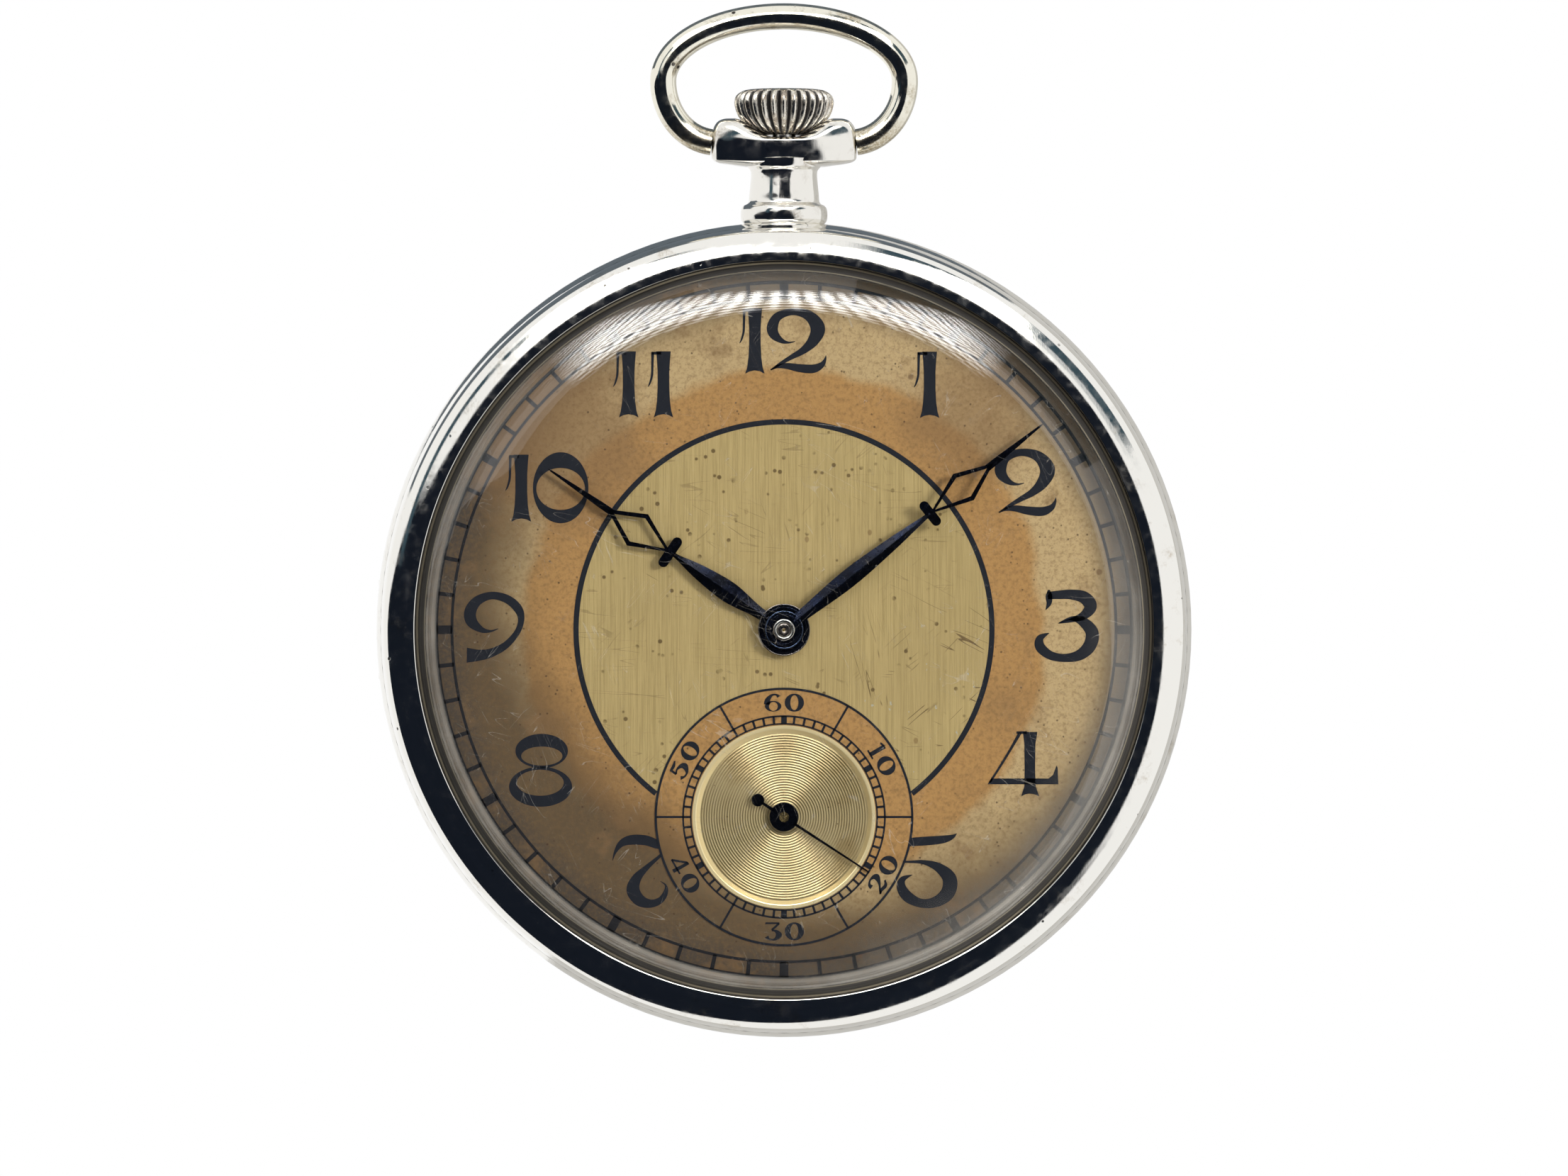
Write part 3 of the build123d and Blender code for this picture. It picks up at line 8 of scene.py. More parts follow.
import bmesh
import bpy
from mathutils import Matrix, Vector


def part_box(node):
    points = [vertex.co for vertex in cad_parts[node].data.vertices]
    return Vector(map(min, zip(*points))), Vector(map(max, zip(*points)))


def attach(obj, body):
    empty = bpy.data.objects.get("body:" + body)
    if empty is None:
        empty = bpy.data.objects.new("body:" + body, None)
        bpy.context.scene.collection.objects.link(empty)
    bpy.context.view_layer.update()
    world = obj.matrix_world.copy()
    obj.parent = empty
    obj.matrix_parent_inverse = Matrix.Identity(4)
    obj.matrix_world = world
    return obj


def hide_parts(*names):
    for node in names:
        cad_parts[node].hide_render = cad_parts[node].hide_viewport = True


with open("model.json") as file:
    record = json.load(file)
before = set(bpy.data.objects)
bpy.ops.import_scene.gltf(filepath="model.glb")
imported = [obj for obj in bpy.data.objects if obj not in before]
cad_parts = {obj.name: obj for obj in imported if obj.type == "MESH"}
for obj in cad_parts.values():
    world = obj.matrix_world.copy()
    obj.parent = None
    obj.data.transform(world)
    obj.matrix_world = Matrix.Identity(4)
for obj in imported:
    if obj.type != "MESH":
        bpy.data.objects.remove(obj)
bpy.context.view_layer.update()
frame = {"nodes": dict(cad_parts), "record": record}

MM = 0.001
HANDS = (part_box("dial")[0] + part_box("dial")[1]) / 2        # middle of the dial
SECONDS = (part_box("sub_dial")[0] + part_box("sub_dial")[1]) / 2
CENTRE_Z = HANDS.z / MM
SUB_Z = (SECONDS.z - HANDS.z) / MM                         # small seconds, below the hands' axis
DIAL_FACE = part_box("dial")[0].y / MM                       # depth of the dial's printed face
HOUR_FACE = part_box("hour_hand")[0].y / MM
MINUTE_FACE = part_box("minute_hand")[0].y / MM
SECONDS_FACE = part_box("seconds_hand")[0].y / MM
SUNK_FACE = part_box("sub_dial")[0].y / MM

HOUR_ANGLE = 304.3           # clockwise from 12, as the CAD hands stand
MINUTE_ANGLE = 51.5
SECONDS_ANGLE = 123.0
PRINT = 0.012                # thickness of the ink
DISC_RADIUS = 12.4           # gold centre of the dial
RING_RADIUS = 7.67           # printed ring round the small seconds
SUNK_RADIUS = 5.28
GROOVES = 29
GROOVE_DEPTH = 0.026
GROOVE_PITCH = (SUNK_RADIUS - 0.8) / GROOVES


# ---- meshes -------------------------------------------------------------------------------
def polar(radius, angle, about=(0.0, 0.0)):
    """Point (x, z) at a clock angle: 0 at 12, clockwise."""
    turn = radians(angle)
    return about[0] + radius * sin(turn), about[1] + radius * cos(turn)


def add(name, data):
    """A new object in the scene, from a mesh, a lamp or a camera."""
    made = bpy.data.objects.new(name, data)
    bpy.context.scene.collection.objects.link(made)
    return made


def build(name, points, faces, material, body, smooth=0.0):
    """A mesh object from points in millimetres; smooth is the angle that still shades round."""
    mesh = bpy.data.meshes.new(name)
    mesh.from_pydata([(x * MM, y * MM, (z + CENTRE_Z) * MM) for x, y, z in points], [], faces)
    mesh.validate()
    piece = add(name, mesh)
    clean(mesh)
    if smooth:
        mesh.shade_smooth()
        mesh.set_sharp_from_angle(angle=radians(smooth))
    mesh.materials.append(material)
    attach(piece, body)
    return piece


def clean(mesh):
    """Merges doubled points and turns every face outwards."""
    work = bmesh.new()
    work.from_mesh(mesh)
    bmesh.ops.remove_doubles(work, verts=work.verts, dist=1e-7)
    bmesh.ops.recalc_face_normals(work, faces=work.faces)
    work.to_mesh(mesh)
    work.free()


def smooth_line(points, steps=10):
    """Points of a smooth curve through the given ones (Catmull-Rom), of any dimension."""
    made = []
    for span in range(len(points) - 1):
        b, c = points[span], points[span + 1]
        a = points[span - 1] if span else b
        d = points[span + 2] if span + 2 < len(points) else c
        for step in range(steps):
            t = step / steps
            made.append(tuple(
                0.5 * (2 * q + (r - p) * t + (2 * p - 5 * q + 4 * r - s) * t ** 2
                       + (3 * q - p - 3 * r + s) * t ** 3)
                for p, q, r, s in zip(a, b, c, d)
            ))
    made.append(tuple(points[-1]))
    return made


def skin(rows, around, closed=False):
    """Faces over rows of so many points around, with both ends capped unless the rows close a loop."""
    faces = []
    for row in range(rows if closed else rows - 1):
        here, there = row * around, (row + 1) % rows * around
        for k in range(around):
            nxt = (k + 1) % around
            faces.append((here + k, here + nxt, there + nxt, there + k))
    if not closed:
        faces.append(tuple(range(around)))
        faces.append(tuple(range((rows - 1) * around, rows * around)))
    return faces


def circle(radius, about=(0.0, 0.0), steps=72):
    return [polar(radius, 360 / steps * k, about) for k in range(steps)]


def soft_edges(piece, width):
    """Rounds the sharp edges; width is in millimetres."""
    bevel = piece.modifiers.new("soft_edges", "BEVEL")
    bevel.width = width * MM
    bevel.segments = 2
    bevel.limit_method = "ANGLE"


def lathe(name, section, material, body, about=(0.0, 0.0), segments=256, smooth=35):
    """A body turned about an axis along y; section is a closed loop of (radius, y)."""
    points = []
    for segment in range(segments):
        for radius, depth in section:
            x, z = polar(radius, 360 * segment / segments, about)
            points.append((x, depth, z))
    return build(name, points, skin(segments, len(section), True), material, body, smooth)


class Slab:
    """Collects flat shapes with a thickness into one mesh."""

    def __init__(self):
        self.points = []
        self.faces = []

    def strip(self, left, right, front, back, closed=False):
        """Band between two lines of as many (x, z) points."""
        first = len(self.points)
        for (ax, az), (bx, bz) in zip(left, right):
            self.points += [(ax, front, az), (bx, front, bz), (bx, back, bz), (ax, back, az)]
        self.faces += [tuple(first + corner for corner in face) for face in skin(len(left), 4, closed)]

    def plate(self, outline, front, back):
        """Solid polygon of (x, z) points."""
        first = len(self.points)
        count = len(outline)
        self.points += [(x, front, z) for x, z in outline] + [(x, back, z) for x, z in outline]
        self.faces.append(tuple(range(first, first + count)))
        self.faces.append(tuple(range(first + count, first + 2 * count)))
        for here in range(count):
            nxt = (here + 1) % count
            self.faces.append((first + here, first + nxt, first + count + nxt, first + count + here))

    def ring(self, outer, inner, front, back, about=(0.0, 0.0), start=0.0, end=360.0, steps=180):
        """Ring, or a part of one between two clock angles."""
        closed = end - start >= 360
        angles = [start + (end - start) * k / steps for k in range(steps if closed else steps + 1)]
        self.strip([polar(outer, a, about) for a in angles], [polar(inner, a, about) for a in angles],
                   front, back, closed)

    def bar(self, inner, outer, angle, width, front, back, about=(0.0, 0.0)):
        """Straight radial bar."""
        side = (width / 2 * cos(radians(angle)), -width / 2 * sin(radians(angle)))
        ends = [polar(inner, angle, about), polar(outer, angle, about)]
        self.strip([(x - side[0], z - side[1]) for x, z in ends],
                   [(x + side[0], z + side[1]) for x, z in ends], front, back)

    def stroke(self, line, front, back, place, thinnest, bold):
        """Pen stroke through (x, z, half width) points, at least so thick and so many times bolder."""
        pen = smooth_line(line, 8)
        left, right = [], []
        for k, (x, z, half) in enumerate(pen):
            before, after = pen[max(k - 1, 0)], pen[min(k + 1, len(pen) - 1)]
            dx, dz = after[0] - before[0], after[1] - before[1]
            size = hypot(dx, dz) or 1.0
            half = max(half * bold, thinnest)
            left.append(place(x - dz / size * half, z + dx / size * half))
            right.append(place(x + dz / size * half, z - dx / size * half))
        self.strip(left, right, front, back)

    def oval(self, outer, inner, front, back, place, steps=48):
        """Ring between two ellipses (x, z, half width, half height)."""
        loops = []
        for cx, cz, ax, az in (outer, inner):
            loops.append([place(cx + ax * sin(2 * pi * k / steps), cz + az * cos(2 * pi * k / steps))
                          for k in range(steps)])
        self.strip(loops[0], loops[1], front, back, True)

    def piece(self, name, material, body, smooth=0.0):
        return build(name, self.points, self.faces, material, body, smooth)


# ---- materials ----------------------------------------------------------------------------
class Recipe:
    """A material's nodes, built by short calls. Lengths are millimetres from a point."""

    def __init__(self, name, about=(0.0, 0.0, CENTRE_Z)):
        self.material = bpy.data.materials.new(name)
        self.material.use_nodes = True
        self.tree = self.material.node_tree
        self.tree.nodes.clear()
        place = self.node("ShaderNodeTexCoord").outputs["Object"]
        moved = self.vector("SUBTRACT", place, tuple(v * MM for v in about))
        self.mm = self.vector("MULTIPLY", moved, (1 / MM, 1 / MM, 1 / MM))

    def node(self, kind, inputs=None, **settings):
        made = self.tree.nodes.new(kind)
        for key, value in settings.items():
            setattr(made, key, value)
        for key, value in (inputs or {}).items():
            self.feed(made.inputs[key], value)
        return made

    def feed(self, socket, value):
        if isinstance(value, bpy.types.NodeSocket):
            self.tree.links.new(value, socket)
        elif hasattr(value, "__len__") and len(value) == 3 and socket.type == "RGBA":
            socket.default_value = (*value, 1.0)
        else:
            socket.default_value = value

    def vector(self, operation, a, b=(0, 0, 0)):
        return self.node("ShaderNodeVectorMath", {0: a, 1: b}, operation=operation).outputs[0]

    def maths(self, operation, a, b=0.0, clamp=False):
        return self.node("ShaderNodeMath", {0: a, 1: b}, operation=operation, use_clamp=clamp).outputs[0]

    def times(self, a, b):
        return self.maths("MULTIPLY", a, b)

    def plus(self, a, b, clamp=False):
        return self.maths("ADD", a, b, clamp)

    def radius(self):
        """Distance from the axis along y."""
        flat = self.vector("MULTIPLY", self.mm, (1, 0, 1))
        return self.node("ShaderNodeVectorMath", {0: flat}, operation="LENGTH").outputs["Value"]

    def along(self, direction):
        """Distance along a direction."""
        return self.node("ShaderNodeVectorMath", {0: self.mm, 1: direction},
                         operation="DOT_PRODUCT").outputs["Value"]

    def noise(self, scale, detail=3.0, stretch=(1, 1, 1), rough=0.55, shift=0.0):
        place = self.vector("MULTIPLY", self.vector("ADD", self.mm, (shift, shift, shift)), stretch)
        return self.node("ShaderNodeTexNoise", {"Vector": place, "Scale": scale, "Detail": detail,
                                                "Roughness": rough}).outputs["Fac"]

    def spots(self, scale, size, stretch=(1, 1, 1), shift=0.0):
        """1 in small round spots, 0 elsewhere."""
        place = self.vector("MULTIPLY", self.vector("ADD", self.mm, (shift, shift, shift)), stretch)
        cells = self.node("ShaderNodeTexVoronoi", {"Vector": place, "Scale": scale})
        return self.ramp(cells.outputs["Distance"], size, size * 0.6)

    def hairlines(self, turn, scale, width, shift=0.0):
        """Thin broken scratches along one direction, in the plane of the dial."""
        turned = self.node("ShaderNodeVectorRotate", {"Vector": self.mm, "Axis": (0, 1, 0),
                                                      "Angle": radians(turn)}).outputs[0]
        bent = self.vector("ADD", turned, (shift, shift, shift))
        lines = self.node("ShaderNodeTexNoise", {"Vector": self.vector("MULTIPLY", bent, (scale, 1, 0.12)),
                                                 "Scale": 1.0, "Detail": 1.0}).outputs["Fac"]
        thin = self.ramp(self.maths("ABSOLUTE", self.maths("SUBTRACT", lines, 0.5)), width, width * 0.4)
        broken = self.ramp(self.noise(0.35, 2, shift=shift + turn), 0.56, 0.62)
        return self.maths("MULTIPLY", thin, broken)

    def ramp(self, value, low, high, to_low=0.0, to_high=1.0):
        """Smooth step from to_low, at low, up or down to to_high, at high."""
        if low > high:
            low, high, to_low, to_high = high, low, to_high, to_low
        return self.node("ShaderNodeMapRange", {"Value": value, "From Min": low, "From Max": high,
                                                "To Min": to_low, "To Max": to_high},
                         interpolation_type="SMOOTHSTEP").outputs["Result"]

    def blend(self, share, a, b):
        """Colour a, or b where share is 1."""
        made = self.node("ShaderNodeMix", data_type="RGBA")
        for socket, value in ((0, share), (6, a), (7, b)):
            self.feed(made.inputs[socket], value)
        return made.outputs[2]

    def bump(self, height, depth, strength):
        return self.node("ShaderNodeBump", {"Height": height, "Distance": depth * MM,
                                            "Strength": strength}).outputs["Normal"]

    def principled(self, **inputs):
        names = {key.replace("_", " ").title().replace("Ior", "IOR"): value for key, value in inputs.items()}
        return self.node("ShaderNodeBsdfPrincipled", names)

    def cover(self, share, under, over):
        """Shader under, or over where share is 1."""
        return self.node("ShaderNodeMixShader", {0: share, 1: under.outputs[0], 2: over.outputs[0]})

    def finish(self, shader):
        output = self.node("ShaderNodeOutputMaterial")
        self.tree.links.new(shader.outputs[0], output.inputs["Surface"])
        return self.material


def polished(name, tint, tarnish, amount, rough=0.07, pits=0.05, dull_below=None):
    """Worn mirror-polished white metal: hazy patches, fine hairlines, tarnish and small pits.

    dull_below is a height under which the tarnish thickens."""
    r = Recipe(name)
    stain = r.ramp(r.noise(0.5, 5, rough=0.65), 0.62 - amount, 0.78 - amount / 2)
    if dull_below is not None:
        stain = r.maths("MAXIMUM", stain, r.ramp(r.along((0, 0, 1)), dull_below, dull_below - 1.6))
    fine = r.noise(7, 4)
    pit = r.times(r.spots(0.9, pits * 2.2), r.ramp(r.noise(0.4, 2, shift=9), 0.52, 0.6))
    colour = r.blend(r.times(stain, r.ramp(fine, 0.3, 0.7, 0.25, 0.8)), tint, tarnish)
    colour = r.blend(pit, colour, (0.05, 0.045, 0.04))
    wear = r.ramp(r.noise(1.6, 4, shift=4), 0.35, 0.75, rough * 0.6, rough * 2.2)
    wear = r.plus(wear, r.times(stain, 0.1))
    lines = r.noise(2.2, 6, (6, 0.7, 1.2), 0.7)
    height = r.maths("SUBTRACT", r.times(lines, 0.25), pit)
    return r.finish(r.principled(base_color=colour, metallic=1.0, roughness=wear,
                                 normal=r.bump(height, 0.012, 0.5)))


def crown_material():
    """Old silver crown: bright rib tops, grooves darkened with painted shade and dirt."""
    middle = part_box("crown")[0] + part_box("crown")[1]
    r = Recipe("crown_metal_look", (middle.x / 2 / MM, middle.y / 2 / MM, middle.z / 2 / MM))
    depth = r.node("ShaderNodeAttribute", attribute_name="groove").outputs["Fac"]
    grime = r.noise(2.4, 5, rough=0.7)
    # Painted shade with dirt: the deeper into a groove, and the higher the grime noise, the nearer to black.
    dirt_and_shade = r.ramp(r.plus(depth, r.times(grime, 0.6)), 0.56, 0.86)
    silver = r.blend(r.ramp(r.noise(1.4, 5, shift=3), 0.42, 0.66), (0.78, 0.74, 0.66), (0.42, 0.36, 0.3))
    colour = r.blend(dirt_and_shade, silver, (0.025, 0.022, 0.02))
    rough = r.ramp(grime, 0.3, 0.8, 0.14, 0.4)
    rough = r.plus(rough, r.times(dirt_and_shade, 0.35))
    metal = r.ramp(dirt_and_shade, 0.0, 1.0, 1.0, 0.2)
    return r.finish(r.principled(base_color=colour, metallic=metal, roughness=rough,
                                 normal=r.bump(r.noise(5, 5, rough=0.7), 0.03, 0.5)))


def glass():
    """Old domed crystal: clear, with a Fresnel gloss, fine scratches, a milky haze, concentric lines near
    the edge painted as the refraction of the rim, and a dark ring of painted shade with grime at the edge.
    """
    r = Recipe("crystal_look")
    facing = r.node("ShaderNodeLayerWeight", {"Blend": 0.5}).outputs["Facing"]
    gloss = r.plus(r.times(r.maths("POWER", facing, 4.0), 0.9), 0.042, True)
    scratch = r.hairlines(24, 1.3, 0.003)
    for turn, scale, width, shift in ((-38, 1.1, 0.003, 3), (71, 0.9, 0.003, 7)):
        scratch = r.maths("MAXIMUM", scratch, r.hairlines(turn, scale, width, shift))
    ripples = r.bump(r.noise(0.35, 2), 0.02, 0.25)
    mirror = r.principled(base_color=(1, 1, 1), metallic=1.0, roughness=0.03, normal=ripples)
    clear = r.node("ShaderNodeBsdfTransparent", {"Color": (0.985, 0.985, 0.975)})
    surface = r.cover(gloss, clear, mirror)
    radius = r.radius()
    side = r.ramp(r.plus(r.along((0.8, 0, -0.6)), r.times(r.noise(0.3, 3), 14)), 16, 34)
    haze = r.times(r.times(r.ramp(radius, 17.0, 21.5), side), 0.13)
    # Painted refraction of the bezel's inner rim: concentric lines in the milky layer near the crystal's
    # edge, stronger towards the bottom.
    turns = r.node("ShaderNodeCombineXYZ", {"X": r.times(radius, 7.0)}).outputs[0]
    lines = r.node("ShaderNodeTexNoise", {"Vector": turns, "Scale": 1.0, "Detail": 3.0}).outputs["Fac"]
    edge = r.times(r.ramp(radius, 20.7, 20.95), r.ramp(lines, 0.35, 0.65, 0.12, 0.6))
    edge = r.times(edge, r.ramp(r.along((-0.3, 0, -0.95)), -17, 5, 0.05, 0.9))
    edge = r.times(edge, r.ramp(r.noise(0.25, 3, shift=15), 0.3, 0.7, 0.5, 1.0))
    haze = r.maths("MAXIMUM", haze, edge)
    haze = r.plus(haze, r.times(scratch, 0.22), True)
    milk = r.principled(base_color=(0.42, 0.39, 0.34), roughness=0.6)
    surface = r.cover(haze, surface, milk)
    # Painted shade with some grime: a dark ring, crossed by brown lines, where the crystal's edge sits in
    # the bezel.
    dirt_and_shade = r.blend(r.ramp(lines, 0.5, 0.62), (0.02, 0.018, 0.016), (0.17, 0.145, 0.1))
    grime = r.principled(base_color=dirt_and_shade, roughness=0.5, specular_ior_level=0.2)
    edge_shade_and_grime = r.ramp(r.plus(radius, r.times(r.noise(0.8, 3), 0.2)), 21.45, 21.6, 0.0, 0.9)
    return r.finish(r.cover(edge_shade_and_grime, surface, grime))


# Middles and sizes of the browner parts of the dial.
BROWN_PATCHES = (((11.0, 0, 12.8), 5.6), ((-13.2, 0, 11.0), 7.0), ((13.5, 0, -4.5), 3.0))


def dial_paper():
    """Tan painted dial, browned with age: orange halo round the gold, grain and specks, and painted shade,
    partly staining, darkening it towards the rim and the lower left.
    """
    r = Recipe("dial_look")
    radius = r.radius()
    blur = r.times(r.maths("SUBTRACT", r.noise(0.2, 4), 0.5), 2.4)
    halo = r.ramp(r.plus(radius, blur), 16.1, 15.2)
    colour = r.blend(halo, (0.40, 0.292, 0.15), (0.335, 0.187, 0.066))
    cloud = r.times(r.maths("SUBTRACT", r.noise(0.13, 5, shift=5), 0.5), 7.0)
    # Painted shade, partly staining: the paper darkens towards the rim and towards the lower left, away from
    # the light.
    shade = r.times(r.along((-0.72, 0, -0.69)), 0.26)
    shade = r.plus(r.plus(radius, shade), cloud)
    colour = r.blend(r.ramp(shade, 14.8, 21.5, 0.0, 0.93), colour, (0.066, 0.042, 0.022))
    # More painted shade, partly ageing: a darker band near the rim, under the bezel.
    colour = r.blend(r.ramp(radius, 18.2, 20.4, 0.0, 0.82), colour, (0.052, 0.042, 0.034))
    stain = r.ramp(r.noise(0.3, 5, rough=0.68, shift=21), 0.52, 0.74, 0.0, 0.8)
    colour = r.blend(r.times(stain, r.ramp(radius, 13, 16)), colour, (0.17, 0.1, 0.045))
    for place, size in BROWN_PATCHES:
        away = r.node("ShaderNodeVectorMath", {0: r.vector("MULTIPLY", r.mm, (1, 0, 1)), 1: place},
                      operation="DISTANCE").outputs["Value"]
        patch = r.ramp(r.plus(away, r.times(r.noise(0.5, 5, rough=0.7), 5)), size + 2.5,
                       size - 1.5, 0.0, 0.68)
        colour = r.blend(patch, colour, (0.19, 0.11, 0.048))
    grain = r.noise(3.6, 4, rough=0.75)
    colour = r.blend(r.ramp(grain, 0.42, 0.68, 0.0, 0.5), colour, (0.13, 0.075, 0.03))
    speck = r.times(r.spots(2.2, 0.17), r.ramp(r.noise(0.7, 2, shift=8), 0.45, 0.58))
    colour = r.blend(r.times(speck, 0.75), colour, (0.05, 0.028, 0.014))
    blot = r.times(r.spots(0.42, 0.1, shift=4), r.ramp(r.noise(0.2, 1, shift=17), 0.45, 0.55))
    colour = r.blend(r.times(blot, 0.6), colour, (0.09, 0.045, 0.02))
    return r.finish(r.principled(base_color=colour, roughness=0.62, specular_ior_level=0.2,
                                 normal=r.bump(grain, 0.02, 0.6)))


def gold_disc():
    """Olive gold centre of the dial: upright satin brushing, brown specks, scratches and worn spots."""
    r = Recipe("gold_disc_look")
    lines = r.noise(1.0, 4, (13, 1, 0.24), 0.75)
    colour = r.blend(r.ramp(lines, 0.32, 0.68), (0.43, 0.33, 0.15), (0.305, 0.23, 0.098))
    colour = r.blend(r.ramp(r.noise(0.12, 3, shift=6), 0.35, 0.7, 0.0, 0.3), colour, (0.30, 0.225, 0.1))
    speck = r.times(r.spots(1.5, 0.24), r.ramp(r.noise(0.5, 3, shift=14), 0.5, 0.6))
    colour = r.blend(r.times(speck, 0.85), colour, (0.09, 0.055, 0.02))
    blot = r.times(r.spots(0.5, 0.09, (1.1, 1, 0.8), 2), r.ramp(r.noise(0.3, 1, shift=3), 0.5, 0.55))
    colour = r.blend(r.times(blot, 0.6), colour, (0.17, 0.1, 0.04))
    scratch = r.hairlines(65, 1.6, 0.011, 5)
    for turn, scale, width, shift in ((-48, 1.3, 0.011, 11), (15, 2.2, 0.009, 19), (88, 1.5, 0.01, 31)):
        scratch = r.maths("MAXIMUM", scratch, r.hairlines(turn, scale, width, shift))
    low = r.ramp(r.along((0.55, 0, -0.83)), 1, 8)
    colour = r.blend(r.times(scratch, r.ramp(low, 0, 1, 0.3, 0.9)), colour, (0.1, 0.062, 0.028))
    bare = r.ramp(r.noise(1.1, 4, (1.6, 1, 1), 0.7, shift=43), 0.68, 0.71)
    bare = r.times(bare, low)
    colour = r.blend(bare, colour, (0.35, 0.36, 0.32))
    height = r.maths("SUBTRACT", lines, r.plus(scratch, bare))
    return r.finish(r.principled(base_color=colour, metallic=0.2, roughness=0.5, specular_ior_level=0.2,
                                 normal=r.bump(height, 0.01, 0.5)))


def sunk_gold():
    """Turned gold floor of the small seconds, with brown age spots and painted shade in the groove valleys.
    """
    r = Recipe("sunk_gold_look", (0.0, 0.0, CENTRE_Z + SUB_Z))
    age = r.ramp(r.noise(0.4, 4, shift=5), 0.45, 0.75)
    colour = r.blend(age, (0.43, 0.35, 0.19), (0.31, 0.232, 0.108))
    speck = r.times(r.spots(2.4, 0.12), r.ramp(r.noise(0.8, 2), 0.5, 0.6))
    colour = r.blend(speck, colour, (0.10, 0.06, 0.025))
    # Painted shade: darker gold in the valleys of the turned grooves.
    from_ridge = r.maths("SUBTRACT", r.radius(), SUNK_RADIUS - 0.3 - GROOVE_PITCH / 2)
    wave = r.maths("COSINE", r.times(from_ridge, 2 * pi / GROOVE_PITCH))
    painted_groove_shade = r.times(r.ramp(wave, 0.1, -0.7), r.ramp(r.radius(), 5.0, 4.95))
    colour = r.blend(r.times(painted_groove_shade, 0.5), colour, (0.2, 0.14, 0.055))
    colour = r.blend(r.ramp(r.radius(), 4.97, 5.05), colour, (0.95, 0.80, 0.47))
    return r.finish(r.principled(base_color=colour, metallic=0.6, roughness=0.28,
                                 normal=r.bump(r.noise(7, 4), 0.006, 0.5)))


def ink(name, colour, show_through, worn):
    """Printed ink, worn thin in places."""
    r = Recipe(name)
    thin = r.ramp(r.noise(2.4, 5, rough=0.7), 0.62 - worn, 0.85 - worn, 0.0, 0.75)
    shade = r.blend(thin, colour, show_through)
    return r.finish(r.principled(base_color=shade, roughness=0.5, specular_ior_level=0.12,
                                 normal=r.bump(r.noise(6, 3), 0.01, 0.5)))


def blued(name="blued_steel_look", light=(0.006, 0.009, 0.022)):
    """Heat-blued steel, nearly black."""
    r = Recipe(name)
    tone = r.blend(r.ramp(r.noise(0.9, 3), 0.4, 0.7), (0.007, 0.008, 0.013), light)
    rough = r.ramp(r.noise(4, 3, shift=3), 0.3, 0.7, 0.14, 0.3)
    return r.finish(r.principled(base_color=tone, metallic=0.9, roughness=rough,
                                 normal=r.bump(r.noise(9, 3), 0.003, 0.3)))


def plated(name, tint, dark, stripe=0.0, grain=(1, 1, 1), rough=0.26):
    """Movement metal with a brushed or striped finish and light handling marks."""
    r = Recipe(name)
    wear = r.noise(0.9, 5, rough=0.65)
    colour = r.blend(r.ramp(wear, 0.45, 0.75, 0.0, 0.6), tint, dark)
    fine = r.noise(3.0, 4, grain, 0.7)
    height = fine
    shine = r.ramp(fine, 0.3, 0.7, rough * 0.7, rough * 1.4)
    if stripe:
        wave = r.maths("SINE", r.times(r.along((0.82, 0, 0.57)), 2 * pi / stripe))
        band = r.ramp(wave, -0.9, 0.9)
        shine = r.plus(shine, r.times(band, 0.12))
        colour = r.blend(r.times(band, 0.35), colour, dark)
        height = r.plus(fine, band)
    return r.finish(r.principled(base_color=colour, metallic=1.0, roughness=shine,
                                 normal=r.bump(height, 0.012, 0.5)))


def ruby():
    """Red synthetic ruby of the jewels."""
    r = Recipe("ruby_look")
    tone = r.blend(r.noise(3, 2), (0.55, 0.01, 0.06), (0.32, 0.0, 0.03))
    return r.finish(r.principled(base_color=tone, roughness=0.05, specular_ior_level=0.8,
                                 normal=r.bump(r.noise(6, 2), 0.002, 0.2)))


SILVER = (0.86, 0.845, 0.80)
case_metal = polished("case_metal_look", SILVER, (0.5, 0.43, 0.33), 0.07)
worn_silver = polished("pendant_metal_look", (0.84, 0.82, 0.77), (0.4, 0.34, 0.27), 0.12, 0.09, 0.09)
bow_metal = polished("bow_metal_look", (0.86, 0.83, 0.72), (0.30, 0.22, 0.10), 0.1, 0.08, 0.07, 31.2)
crown_metal = crown_material()
crystal_glass = glass()
tan = dial_paper()
gold = gold_disc()
turned_gold = sunk_gold()
black_ink = ink("black_ink_look", (0.010, 0.012, 0.018), (0.05, 0.04, 0.035), 0.0)
track_ink = ink("track_ink_look", (0.014, 0.014, 0.017), (0.12, 0.1, 0.08), 0.06)
hand_steel = blued()
screw_steel = blued("blue_steel_look", (0.04, 0.1, 0.42))
worn_edge = plated("worn_steel_look", (0.30, 0.27, 0.25), (0.08, 0.07, 0.07), rough=0.2)
blue_edge = plated("blue_edge_look", (0.10, 0.14, 0.24), (0.03, 0.04, 0.08), rough=0.2)
bridge_nickel = plated("bridge_look", (0.80, 0.77, 0.70), (0.55, 0.52, 0.46), 1.7, (1.5, 1, 0.6))
plate_nickel = plated("plate_look", (0.78, 0.75, 0.66), (0.5, 0.46, 0.38), rough=0.3)
brass = plated("brass_look", (0.83, 0.62, 0.27), (0.55, 0.36, 0.13), grain=(0.8, 0.8, 0.8), rough=0.24)
steel = plated("steel_look", (0.68, 0.68, 0.67), (0.42, 0.40, 0.38), grain=(3, 1, 0.6), rough=0.2)
red = ruby()


